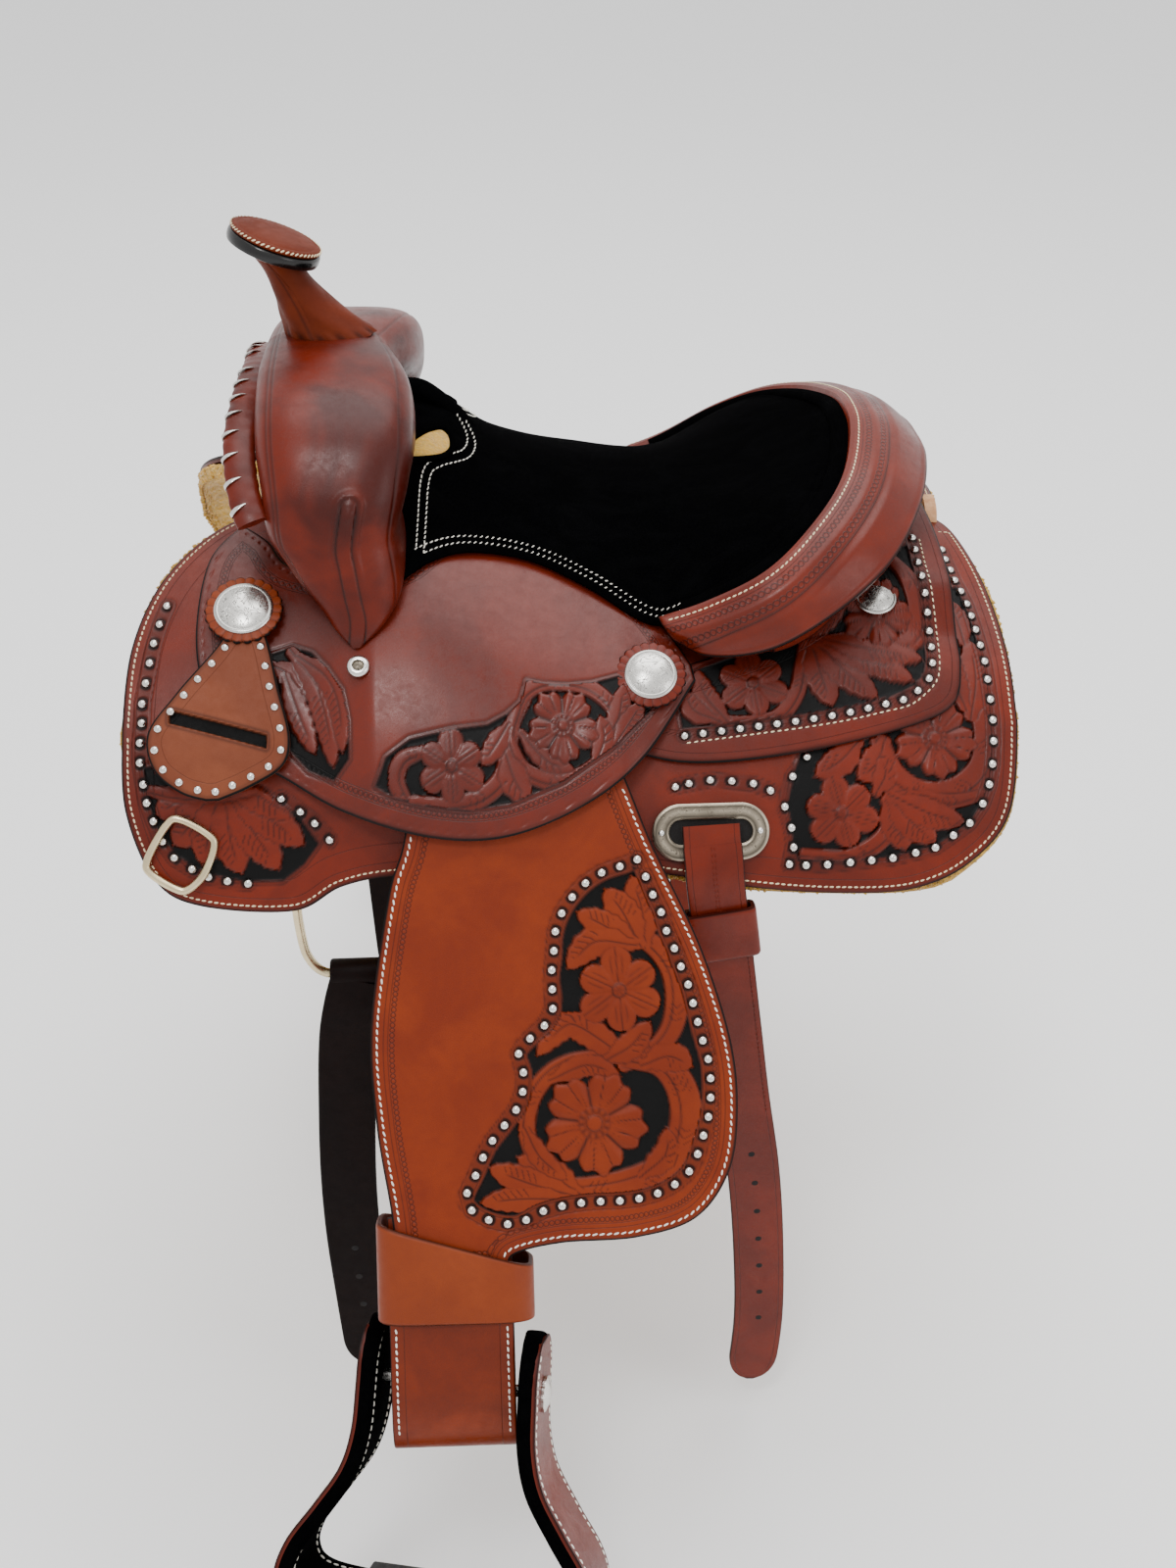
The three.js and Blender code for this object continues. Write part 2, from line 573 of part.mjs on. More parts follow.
const latigoRoute = [[-153, -244, -224], [-159, -246, -245], [-164, -246, -270], [-170, -246, -335],
  [-174, -246, -400],
  [-175, -246, -460], [-173, -246, -530], [-170, -246, -606]];
function latigo() {
  const hang = strap(latigoRoute, LATIGO_WIDTH, 4.5, 8);
  const eye = new THREE.CylinderGeometry(9.5, 9.5, LATIGO_WIDTH, 16).rotateZ(Math.PI / 2);
  eye.translate(-153, DEE_TOP.y, DEE_TOP.z - DEE_DROP);
  const bore = new THREE.CylinderGeometry(6, 6, 90, 12).rotateZ(Math.PI / 2);
  bore.translate(-153, DEE_TOP.y, DEE_TOP.z - DEE_DROP);
  return cut(join(hang, eye), bore);
}

// ---- cantle roll and back: edges run from the near end round the rear to the far end ----
const rollInner = spline3([[52, -151, -5], [84, -154, 8], [120, -154, 28], [152, -131, 49], [177, -92, 65],
  [192, -33, 79], [193.5, 0, 82], [192, 33, 79], [177, 92, 65], [152, 131, 49], [120, 154, 28],
    [84, 154, 8], [52, 151, -5]]);
const rollOuter = spline3([[60, -162, -16], [80, -173, -22], [119, -182, -15], [157, -176, 3],
  [199, -152, 28],
  [230, -102, 49], [248, -37, 60], [250, 0, 61], [248, 37, 60], [230, 102, 49], [199, 152, 28], [157, 176, 3],
  [119, 182, -15], [80, 173, -22], [60, 162, -16]]);

function cantleRoll() {
  return sheet(26, 3, (u, v, k) => {
    const [p, q] = [rollInner.getPointAt(u), rollOuter.getPointAt(u)];
    const along = rollInner.getTangentAt(u);
    const across = q.clone().sub(p).normalize();
    const face = v3().crossVectors(across, along).normalize();
    const hand = face.z < 0 ? -1 : 1;
    const swell = 5 * Math.sin(Math.PI * Math.min(1, v * 1.1)) - 5 * v * v;
    return p.lerp(q, v).addScaledVector(face, hand * (swell + (k - 0.5) * 7 + 1));
  });
}

function cantleBack() {
  return sheet(22, 2, (u, v, k) => {
    const t = lerp(0.13, 0.87, u);
    const [p, q] = [rollInner.getPointAt(t), rollOuter.getPointAt(t)];
    const flat = v3(q.x - p.x, q.y - p.y, 0).normalize();
    const top = p.clone().lerp(q, 0.4).addScaledVector(flat, -3).add(v3(0, 0, -10));
    const a = -SIDE_RADIUS * Math.asin(top.y / (SIDE_RADIUS + 20));
    const foot = sidePoint(top.x + 3, a, rearJockeyBack(top.x, Math.abs(a)) + REAR_JOCKEY_THICKNESS + 2);
    return top.lerp(foot, v).addScaledVector(flat, k * 3);
  });
}

// ---- binding laced round the front edge of the swell, from one tip to the other ----
function gulletBinding() {
  const half = [[-168, -170, 17], [-190, -163, 40], [-209, -142, 66], [-219, -104, 96], [-218, -50, 115]];
  const route = [...half, [-216, 0, 120], ...half.slice().reverse().map(([x, y, z]) => [x, -y, z])];
  const section = new THREE.Shape().absellipse(0, 0, 4, 5.5, 0, Math.PI * 2);
  const settings = { steps: 20, curveSegments: 2, extrudePath: spline3(route), bevelEnabled: false };
  return new THREE.ExtrudeGeometry(section, settings);
}

const KEEPER = { x: -217, a: 147 };
function latigoKeeper() {
  const left = spline2([[-224, 150], [-232, 168], [-258, 196], [-276, 219], [-272, 240], [-256, 253],
    [-240, 258]]);
  const right = spline2([[-209, 150], [-201, 168], [-194, 196], [-187, 224], [-192, 240], [-212, 251],
    [-232, 258]]);
  const body = sheet(4, 9, (u, v, k) => {
    const [p, q] = [left.getPointAt(v), right.getPointAt(v)];
    return sidePoint(lerp(p.x, q.x, u), lerp(p.y, q.y, u), 17 + k * 3.5);
  });
  const slotPoint = (u, v, k) =>
    sidePoint(lerp(-262, -202, u), lerp(210, 226, u) + (v - 0.5) * 11, lerp(10, 28, k));
  const slot = sheet(3, 2, slotPoint);
  return cut(body, slot);
}

const screwHead = turned([[0, 0], [3.4, 0], [3.4, 1.2], [7.2, 1.2], [7.2, 2.8], [5, 3.6], [0, 3.6]]);

function skirtLacing() {
  const tie = new THREE.TorusGeometry(1, 0.5, 6, 16);
  return warp(tie, (x, y, z) => {
    const [r, turn] = [Math.hypot(x, y), Math.atan2(y, x)];
    const off = (r - 1) * 2;
    const half = off * LACE.thickness / 2;
    return v3(LACE.x + z * LACE.width, Math.cos(turn) * (LACE.y + half), -3 + Math.sin(turn) * (15 + half));
  });
}

// ---- assembly ----
const seatedConcho = (radius, x, a, n) => onSide(concho(radius), x, a, n);

add('tree_fork', cut(fork(), hornPost(9.4, 66)), wood());
add('tree_cantle', cantleWood(), wood());
addPair('tree_bar', bar(), wood());
add('horn_core', join(hornPost(9, 64), hornPlace(disc(24.4, 5, 0))), steel());
add('horn_rim', hornPlace(cut(disc(HORN_CAP_RADIUS, 8, 0.6), disc(24.8, 20, 0))), rubber());
const hornCap = turned([[0, 4.9], [30, 4.9], [30.6, 6], [29, 7.6], [22, 9], [10, 9.8], [0, 10]]);
add('horn_cap', hornPlace(hornCap), leather());
add('horn_wrap', cut(hornWrap(), swellSolid(-0.4, 0)), leather());
add('swell_cover', cut(swellCover(), hornPost(9.6, 66)), leather());
add('gullet_binding', cut(gulletBinding(), swellSolid(-0.5, 0)), leather());
add('ground_seat', groundSeat(), leather(0xb9895c));
add('seat_pad', seatPad(), suede());
add('cantle_roll', cantleRoll(), leather());
add('cantle_back', cantleBack(), leather());
addPair('seat_jockey', seatJockey(), leather());
addPair('rear_jockey', rearJockey(), leather());
addPair('skirt', skirt(), leather());
addPair('fleece', fleece(), wool());
add('skirt_lacing', skirtLacing(), leather(0xd9a878));
addPair('front_concho', seatedConcho(19, KEEPER.x, KEEPER.a, 21), steel());
addPair('seat_concho', seatedConcho(17, 44, 183, 25.5), steel());
addPair('latigo_keeper', latigoKeeper(), tan());
addPair('fork_screw', onSide(screwHead, -143, 184, 25), steel());
addPair('breast_dee', breastDee(), steel());
addPair('rigging_dee', riggingDee(), steel());
addPair('rear_plate', rearPlate(), steel());
addPair('rear_billet', rearBillet(), leather());
addPair('billet_keeper', billetKeeper(), leather());
addPair('latigo', latigo(), dark());
addPair('fender_hanger', hanger(), leather());
addPair('fender', fender(), leather());
addPair('stirrup_leather', neckTop(), leather());
addPair('hobble_strap', hobble(), tan());
addPair('stirrup_loop', neckLoop(), leather());
addPair('stirrup', stirrup(), suede());
addPair('stirrup_bolt', stirrupBolt(), steel());
addPair('tread_pad', treadPad(), rubber());

export default saddle;
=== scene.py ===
import math
import bpy
import numpy as np
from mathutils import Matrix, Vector


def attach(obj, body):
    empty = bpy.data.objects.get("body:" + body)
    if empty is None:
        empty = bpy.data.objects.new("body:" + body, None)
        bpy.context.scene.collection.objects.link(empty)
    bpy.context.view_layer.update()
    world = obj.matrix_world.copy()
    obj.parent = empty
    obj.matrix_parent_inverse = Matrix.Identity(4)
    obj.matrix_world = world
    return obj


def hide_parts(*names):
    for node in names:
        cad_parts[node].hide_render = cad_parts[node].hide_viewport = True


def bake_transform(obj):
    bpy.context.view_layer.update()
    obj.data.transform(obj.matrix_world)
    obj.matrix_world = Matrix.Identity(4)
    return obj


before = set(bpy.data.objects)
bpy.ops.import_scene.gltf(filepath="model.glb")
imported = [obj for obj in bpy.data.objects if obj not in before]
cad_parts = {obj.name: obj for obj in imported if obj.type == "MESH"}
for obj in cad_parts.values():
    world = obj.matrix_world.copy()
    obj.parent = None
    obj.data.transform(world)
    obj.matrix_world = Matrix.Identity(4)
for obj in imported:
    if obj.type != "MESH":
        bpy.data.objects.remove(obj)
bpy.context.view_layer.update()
rng = np.random.default_rng(11)
SIDES = ("near", "far")
PI = math.pi
FORWARD = np.array([1.0, 0, 0])
OUTBOARD = (0, -1, 0.15)
SHARP_ANGLE = math.radians(40)
BACK_STEP = 4
MM = 0.001


# ---- numbers and curves, all lengths in millimetres ----
def lerp(a, b, t):
    return a + (b - a) * t


def ease(x, lo, hi):
    t = np.clip((x - lo) / (hi - lo), 0, 1)
    return t * t * (3 - 2 * t)


def within(x, a, b, c, d):
    """Rises from a to b and falls from c to d."""
    return ease(x, a, b) * (1 - ease(x, c, d))


def bell(x, width):
    return np.exp(-(x / width) ** 2)


def half_round(x):
    return np.sqrt(np.clip(1 - x ** 2, 0, 1))


def profile(points):
    px, py = np.array(points, float).T
    n = len(px)
    lo, hi = np.maximum(np.arange(n) - 1, 0), np.minimum(np.arange(n) + 1, n - 1)
    slope = (py[hi] - py[lo]) / (px[hi] - px[lo])

    def at(x):
        x = np.clip(x, px[0], px[-1])
        i = np.clip(np.searchsorted(px, x, side="right") - 1, 0, n - 2)
        h = px[i + 1] - px[i]
        t = (x - px[i]) / h
        t2, t3 = t * t, t ** 3
        return (py[i] * (2 * t3 - 3 * t2 + 1) + slope[i] * h * (t3 - 2 * t2 + t)
                + py[i + 1] * (3 * t2 - 2 * t3) + slope[i + 1] * h * (t3 - t2))
    return at


class Curve:
    """A Catmull-Rom curve sampled by its length."""

    def __init__(self, points, power=0.0, closed=False, per=40):
        p = np.array(points, float)
        n = len(p)
        if closed:
            q = np.vstack([p[-1:], p, p[:2]])
        elif power:
            q = np.vstack([2 * p[:1] - p[1:2], p, 2 * p[-1:] - p[-2:-1]])
        else:
            q = np.vstack([p[:1], p, p[-1:]])
        out = []
        for i in range(n if closed else n - 1):
            a, b, c, d = q[i:i + 4]
            t = np.linspace(0, 1, per, endpoint=False)[:, None]
            if power:
                e0, e1, e2 = [max(np.linalg.norm(v), 1e-4) ** power for v in (b - a, c - b, d - c)]
                m1 = ((b - a) / e0 - (c - a) / (e0 + e1) + (c - b) / e1) * e1
                m2 = ((c - b) / e1 - (d - b) / (e1 + e2) + (d - c) / e2) * e1
            else:
                m1, m2 = (c - a) / 2, (d - b) / 2
            t2, t3 = t * t, t ** 3
            out.append(b * (2 * t3 - 3 * t2 + 1) + m1 * (t3 - 2 * t2 + t)
                       + c * (3 * t2 - 2 * t3) + m2 * (t3 - t2))
        out.append(p[:1] if closed else p[-1:])
        self.pts = np.vstack(out)
        step = np.linalg.norm(np.diff(self.pts, axis=0), axis=1)
        self.s = np.concatenate([[0], np.cumsum(step)])
        self.length = self.s[-1]

    def at(self, u):
        s = np.asarray(u, float) * self.length
        return np.stack([np.interp(s, self.s, self.pts[:, k]) for k in range(self.pts.shape[1])], -1)

    def tangent(self, u):
        u, d = np.asarray(u), 0.004
        t = self.at(np.clip(u + d, 0, 1)) - self.at(np.clip(u - d, 0, 1))
        return t / np.maximum(np.linalg.norm(t, axis=-1, keepdims=True), 1e-9)


def unit(v):
    return v / np.maximum(np.linalg.norm(v, axis=-1, keepdims=True), 1e-12)


def polyline(points, per):
    return Curve(points, per=per).pts


def edge_distance(line, x, a):
    """Distance from each (x, a) to a polyline, and how far along it the nearest point is."""
    p, q = line[:-1], line[1:]
    d = q - p
    length = np.linalg.norm(d, axis=1)
    keep = length > 1e-6
    p, d, length = p[keep], d[keep], length[keep]
    start = np.concatenate([[0], np.cumsum(length)[:-1]])
    shape, x, a = x.shape, x.ravel(), a.ravel()
    dist, along = np.empty(len(x)), np.empty(len(x))
    chunk = 20000
    for i in range(0, len(x), chunk):
        w = np.stack([x[i:i + chunk], a[i:i + chunk]], -1)[:, None, :] - p[None]
        t = np.clip((w * d).sum(-1) / length ** 2, 0, 1)
        r = np.linalg.norm(w - t[..., None] * d, axis=-1)
        k = r.argmin(1)
        j = np.arange(len(k))
        dist[i:i + chunk], along[i:i + chunk] = r[j, k], start[k] + t[j, k] * length[k]
    return dist.reshape(shape), along.reshape(shape)


def inside(poly, x, a):
    """Whether each (x, a) lies in a polygon."""
    hit = np.zeros(x.shape, bool)
    for (x0, y0), (x1, y1) in zip(poly, np.roll(poly, -1, axis=0)):
        cross = (y0 > a) != (y1 > a)
        if cross.any():
            hit ^= cross & (x < (x1 - x0) * (a - y0) / (y1 - y0 + 1e-12) + x0)
    return hit


# ---- the saddle's surfaces ----
SIDE, RIDGE, PLUMB, LIFT = 270, 16, 272, 13.5
rocker = profile([[-300, 20], [-200, 26], [-100, 12], [0, -8], [100, -13], [200, -14], [290, -24]])


def side(x, a, n):
    """The point at x along the saddle, a round its side from the ridge and n above the skirt's underside."""
    s = a / SIDE
    height = RIDGE - SIDE * (1 - np.cos(s)) + rocker(x) * np.maximum(0, 1 - np.abs(a) / 300)
    return np.stack([x + 0 * s, -(SIDE + n) * np.sin(s), height + n * np.cos(s)], -1)


PLUMB_DOWN = np.array([0, -math.cos(PLUMB / SIDE), -math.sin(PLUMB / SIDE)])
PLUMB_OUT = np.array([0, -math.sin(PLUMB / SIDE), math.cos(PLUMB / SIDE)])


def hang(x, a, n):
    """As side with n counted from LIFT, but straight down where a is past PLUMB."""
    x, a, n = np.broadcast_arrays(np.asarray(x, float), np.asarray(a, float), np.asarray(n, float))
    return side(x, np.minimum(a, PLUMB), LIFT + n) + np.maximum(a - PLUMB, 0)[..., None] * PLUMB_DOWN


seat_line = profile([[-106, 97], [-84, 87], [-56, 65], [-15, 48], [41, 40], [85, 38.5], [120, 44], [150, 55],
                     [175, 69], [190, 80], [215, 90]])
seat_edge = profile([[-106, 36], [-71, 35], [-32, 32], [6, 29], [49, 22], [70, 27], [85, 34], [119, 54],
                     [150, 66], [174, 69], [188, 74], [215, 84]])
seat_reach = profile([[-106, 115], [-71, 97], [-32, 103], [6, 122], [49, 146], [85, 139], [119, 131],
                      [150, 109], [174, 90], [190, 80]])
upper = profile([[-225, 12], [-190, 14], [-110, 30], [-71, 29], [-32, 26], [6, 23.5], [50, 16], [74, 15]])
lower = profile([[-225, 11], [-200, 11.5], [-172, 14], [-150, 20], [-131, 26], [22, 26], [42, 21],
                 [60, 17], [74, 15]])


def seat_face(x, a):
    return lerp(seat_line(x) - RIDGE - rocker(x), seat_edge(x), ease(np.abs(a) / seat_reach(x), 0, 1))


def jockey_face(x, a):
    return lerp(upper(x), lower(x), ease(a, 110, 205))


def rear_under(a):
    return lerp(19.6, 6.1, ease(np.abs(a), 108, 152))


def rear_face(x, a):
    return rear_under(a) + 3.5


# ---- meshes ----
def mesh(name, verts, faces, material, body=None, attrs=None, stands_for=(), slot=None):
    """A mesh from millimetre vertices; faces is a list of index arrays, one array for each face size."""
    data = bpy.data.meshes.new(name)
    verts = np.asarray(verts, float).reshape(-1, 3)
    faces = [np.asarray(f, np.int32) for f in faces if len(f)]
    data.vertices.add(len(verts))
    data.vertices.foreach_set("co", (verts * MM).astype(np.float32).ravel())
    counts = np.concatenate([np.full(len(f), f.shape[1]) for f in faces])
    data.loops.add(int(counts.sum()))
    data.loops.foreach_set("vertex_index", np.concatenate([f.ravel() for f in faces]))
    data.polygons.add(len(counts))
    starts = np.concatenate([[0], np.cumsum(counts)[:-1]])
    data.polygons.foreach_set("loop_start", starts.astype(np.int32))
    data.polygons.foreach_set("use_smooth", np.ones(len(counts), bool))
    data.update(calc_edges=True)
    data.validate()
    for key, value in (attrs or {}).items():
        layer = data.attributes.new(key, "FLOAT", "POINT")
        full = np.zeros(len(verts), np.float32)
        value = np.asarray(value, np.float32).ravel()
        full[:len(value)] = value
        layer.data.foreach_set("value", full)
    data.set_sharp_from_angle(angle=SHARP_ANGLE)
    data.materials.append(material)
    obj = bpy.data.objects.new(name, data)
    bpy.context.scene.collection.objects.link(obj)
    if body:
        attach(obj, body)
    if stands_for:
        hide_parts(*stands_for)
    return obj


def both(name, verts, faces, material, body, attrs=None, stands_for=(), blend=None, **more):
    """The near piece and its mirror image. body and stands_for are base names."""
    verts = np.asarray(verts, float).reshape(-1, 3)
    for hand in SIDES:
        flip = np.array([1, 1 if hand == "near" else -1, 1])
        v = verts * flip
        f = [np.asarray(g) if hand == "near" else np.asarray(g)[:, ::-1] for g in faces if len(g)]
        own = None if blend else body if body == "saddle" else f"{body}_{hand}"
        obj = mesh(f"{name}_{hand}", v, f, material, own, attrs,
                   stands_for=[f"{n}_{hand}" for n in stands_for], **more)
        if blend:
            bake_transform(obj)


def grid(nu, nv, wrap_u=False, wrap_v=False, start=0):
    """The four-sided faces of a grid of nu by nv vertices."""
    i, j = np.arange(nu if wrap_u else nu - 1), np.arange(nv if wrap_v else nv - 1)
    i, j = [k.ravel() for k in np.meshgrid(i, j, indexing="ij")]
    i2, j2 = (i + 1) % nu, (j + 1) % nv
    return np.stack([i * nv + j, i2 * nv + j, i2 * nv + j2, i * nv + j2], -1) + start


def outward(verts, faces):
    """Turns all faces over if the closed mesh is inside out."""
    volume = 0
    for f in faces:
        a, b, c = verts[f[:, 0]], verts[f[:, 1]], verts[f[:, 2]]
        volume += np.einsum("ij,ij->i", a, np.cross(b, c)).sum()
        if f.shape[1] == 4:
            volume += np.einsum("ij,ij->i", a, np.cross(c, verts[f[:, 3]])).sum()
    return [f[:, ::-1] for f in faces] if volume < 0 else faces


def fan(steps, around):
    """The two end caps of a tube of rings whose centres are the last two vertices."""
    i, j = np.arange(around), (np.arange(around) + 1) % around
    centre, last = steps * around, (steps - 1) * around
    return np.vstack([np.stack([i * 0 + centre, i, j], -1),
                      np.stack([i * 0 + centre + 1, j + last, i + last], -1)])


def capped(rings, ends=None):
    """A tube of rings, (steps, around, 3), closed with a fan at each end."""
    steps, around = rings.shape[:2]
    if ends is None:
        ends = np.array([rings[0].mean(0), rings[-1].mean(0)])
    verts = np.vstack([rings.reshape(-1, 3), ends])
    return verts, outward(verts, [grid(steps, around, wrap_v=True), fan(steps, around)])


def sparse(values):
    """The rows and columns of a fine grid that a slab's back uses."""
    return values[::BACK_STEP, ::BACK_STEP]


def slab(front, back):
    """A closed sheet: a fine front grid, a coarser back grid, and a wall between their edges."""
    nu, nv = front.shape[:2]
    mu, mv = back.shape[:2]
    offset = nu * nv
    verts = np.vstack([front.reshape(-1, 3), back.reshape(-1, 3)])
    fine = np.arange(offset).reshape(nu, nv)
    coarse = np.arange(mu * mv).reshape(mu, mv) + offset
    f, c = [np.concatenate([g[:-1, 0], g[-1, :-1], g[:0:-1, -1], g[0, :0:-1]]) for g in (fine, coarse)]
    tris = []
    half = BACK_STEP // 2
    for k in range(len(c)):
        c0, c1 = c[k], c[(k + 1) % len(c)]
        run = [f[(k * BACK_STEP + j) % len(f)] for j in range(BACK_STEP + 1)]
        tris += [(run[j], c0, run[j + 1]) for j in range(half)]
        tris.append((run[half], c0, c1))
        tris += [(run[j], c1, run[j + 1]) for j in range(half, BACK_STEP)]
    faces = [grid(nu, nv)[:, ::-1], grid(mu, mv, start=offset), np.array(tris)]
    return verts, outward(verts, faces)


def row_count(length, pitch):
    """How many rows a slab's front needs, so that its back can take every BACK_STEP-th."""
    return int(math.ceil(length / pitch / BACK_STEP)) * BACK_STEP + 1


def uv_grid(nu, nv, low_v=0):
    return np.meshgrid(np.linspace(0, 1, nu), np.linspace(low_v, 1, nv), indexing="ij")


def ruled(top, bottom, nu, nv):
    """The (x, a) points between two curves, with their distance to the border and its run."""
    u, v = uv_grid(nu, nv)
    xa = lerp(top.at(u), bottom.at(u), v[..., None])
    border = np.vstack([top.pts[::4], bottom.pts[::-1][::4], top.pts[:1]])
    return xa[..., 0], xa[..., 1], *edge_distance(border, xa[..., 0], xa[..., 1])


def panel(top, bottom, front, back, pitch, relief, across):
    """A leather between two (x, a) edges. front and back give its 3-D faces; relief adds tooling."""
    p, q = Curve(top), Curve(bottom)
    nu, nv = row_count(max(p.length, q.length), pitch), row_count(across, pitch)
    x, a, edge, along = ruled(p, q, nu, nv)
    height = -1.1 * (1 - ease(edge, 0, 2.4)) ** 2
    dye, cut = 1 - ease(edge, 0.9, 1.7), 0.4 * bell(edge - 2.2, 1.0)
    more = relief(x, a, edge)
    height, dye, cut = height + more[0], np.maximum(dye, more[1]), np.maximum(cut, more[2])
    verts, faces = slab(front(x, a, height), back(sparse(x), sparse(a)))
    return verts, faces, {"dye": dye, "cut": cut, "edge": edge, "along": along}


def placed(template, at, normal, forward, scale=1.0):
    """Copies of a template standing on a surface: its z along normal and its x along forward."""
    tv, tf = template
    at, normal, forward = [np.asarray(k, float).reshape(-1, 3) for k in (at, normal, forward)]
    z = unit(normal)
    x = unit(forward - (forward * z).sum(-1, keepdims=True) * z)
    y = np.cross(z, x)
    s = np.broadcast_to(np.asarray(scale, float).reshape(-1, 1, 1), (len(at), 1, 1))
    basis = np.stack([x, y, z], 1)
    verts = at[:, None] + np.einsum("tk,nkj->ntj", tv, basis) * s
    shift = np.arange(len(at)) * len(tv)
    return verts.reshape(-1, 3), [(f[None] + shift[:, None, None]).reshape(-1, f.shape[1]) for f in tf]


def joined(*parts):
    """Several (verts, faces) pairs as one."""
    verts, faces, shift = [], [], 0
    for v, f in parts:
        v = np.asarray(v, float).reshape(-1, 3)
        verts.append(v)
        faces += [np.asarray(g) + shift for g in f if len(g)]
        shift += len(v)
    return np.vstack(verts), faces


def lathe(outline, sides=24, ripple=None):
    """An outline of (radius, height) points turned about z; ripple scales the radius."""
    r, z = np.array(outline, float).T
    turn = np.arange(sides) * 2 * PI / sides
    wave = np.ones((len(r), sides)) if ripple is None else ripple(r[:, None], turn[None])
    rr = r[:, None] * wave
    verts = np.stack([rr * np.cos(turn), rr * np.sin(turn), z[:, None] + 0 * rr], -1)
    return verts.reshape(-1, 3), [grid(len(r), sides, wrap_v=True)[:, ::-1]]


def dome(radius, height, sides=12, rows=4, base=0.6):
    t = np.linspace(0.02, 1, rows + 1)[::-1] * PI / 2
    cap = [(radius * math.sin(k), height * math.cos(k)) for k in t]
    return lathe([(0.01, -base), (radius, -base)] + cap, sides)


def capsule(length, radius):
    """One thread of a stitch."""
    sides = 6
    t = np.array([-1, -0.86, -0.45, 0.45, 0.86, 1])
    r = np.array([0.05, 0.62, 1, 1, 0.62, 0.05])
    turn = np.arange(sides) * 2 * PI / sides
    verts = np.stack([np.repeat(t * length / 2, sides).reshape(-1, sides),
                      r[:, None] * radius * np.cos(turn), r[:, None] * radius * 0.8 * np.sin(turn)], -1)
    return verts.reshape(-1, 3), [grid(len(t), sides, wrap_v=True)]


def frames(path, up=None, closed=False):
    """The tangent, the normal and their cross product at each point of a path."""
    nxt, prv = np.roll(path, -1, axis=0), np.roll(path, 1, axis=0)
    if not closed:
        nxt[-1], prv[0] = path[-1], path[0]
    t = unit(nxt - prv)
    if up is None:
        n = np.empty_like(t)
        n[0] = unit(np.cross(t[0], (0.3, 0.5, 0.8)))
        for i in range(1, len(t)):
            n[i] = unit(n[i - 1] - (n[i - 1] @ t[i]) * t[i])
    else:
        up = np.broadcast_to(np.asarray(up, float), t.shape)
        n = unit(up - (up * t).sum(-1, keepdims=True) * t)
    return t, n, np.cross(t, n)


def sweep(path, section, up=None, closed=False, scale=None):
    """A closed section, (across, out) points, carried along a path, with capped ends."""
    _, n, b = frames(path, up, closed)
    sec = np.array(section, float)
    s = np.ones(len(path)) if scale is None else np.asarray(scale, float)
    off = sec[None] * s[:, None, None]
    verts = path[:, None] + b[:, None] * off[..., :1] + n[:, None] * off[..., 1:]
    if not closed:
        return capped(verts, np.vstack([path[:1], path[-1:]]))
    faces = [grid(len(path), len(sec), wrap_u=True, wrap_v=True)]
    verts = verts.reshape(-1, 3)
    return verts, outward(verts, faces)


def oval(wide, high, sides):
    """An ellipse of section points, to be swept."""
    turn = np.linspace(0, 2 * PI, sides, endpoint=False)
    return np.stack([wide * np.cos(turn), high * np.sin(turn)], -1)


def hoop(path, radius, sides):
    """A closed ring of round wire."""
    return sweep(path, oval(radius, radius, sides), closed=True)


def lozenge(half, thick, corner, rows):
    """The cross-section of a strap: flat with eased corners."""
    w, h = half - corner, thick / 2 - corner
    pts = []
    for cx, cy, quarter in ((w, h, 0), (-w, h, 1), (-w, -h, 2), (w, -h, 3)):
        turn = np.linspace(quarter * PI / 2, (quarter + 1) * PI / 2, 5)
        pts += [(cx + corner * math.cos(t), cy + corner * math.sin(t)) for t in turn]
        if quarter % 2 == 0:
            x, y = pts[-1]
            pts += [(k, y) for k in np.linspace(x, -x, rows + 2)[1:-1]]
    return np.array(pts)


def stitches(path, normal, pitch=3.5, length=2.5, radius=0.5, slant=0.12):
    """Separate threads laid along a line on a surface."""
    sink = 0.1
    step = np.linalg.norm(np.diff(path, axis=0), axis=1)
    s = np.concatenate([[0], np.cumsum(step)])
    at = np.arange(pitch / 2, s[-1], pitch)
    at = at + rng.normal(0, 0.08, len(at))

    def pick(values, where):
        return np.stack([np.interp(where, s, values[:, k]) for k in range(3)], -1)
    n = unit(pick(normal, at))
    go = unit(pick(path, at + 1.0) - pick(path, at - 1.0))
    go = unit(go + np.cross(n, go) * slant + np.cross(n, go) * rng.normal(0, 0.05, (len(at), 1)))
    return placed(capsule(length, radius), pick(path, at) + n * sink, n, go)


def on_face(face, xa):
    """Points and outward normals of a surface at (x, a) points."""
    xa, step = np.asarray(xa, float), 0.5
    x, a = xa[:, 0], xa[:, 1]
    p = face(x, a, 0 * x)
    n = unit(np.cross(face(x, a + step, 0 * x) - p, face(x + step, a, 0 * x) - p))
    inner = (n * (p - np.array([0, 0, -150]))).sum(-1) < 0
    return p, n * np.where(inner, -1.0, 1.0)[:, None]


def inset(line, by, closed=True):
    """A polyline moved sideways, to its left when by is positive."""
    line = np.asarray(line, float)
    t = np.roll(line, -1, axis=0) - np.roll(line, 1, axis=0)
    if not closed:
        t[0], t[-1] = line[1] - line[0], line[-1] - line[-2]
    t = unit(t)
    return line + np.stack([-t[:, 1], t[:, 0]], -1) * by


def inward(line, by, ring, closed=True):
    """A polyline moved sideways, to the side that lies inside a ring."""
    moved = inset(line, by, closed)
    x, a = moved[20:21].T
    return moved if inside(ring, x, a)[0] else inset(line, -by, closed)


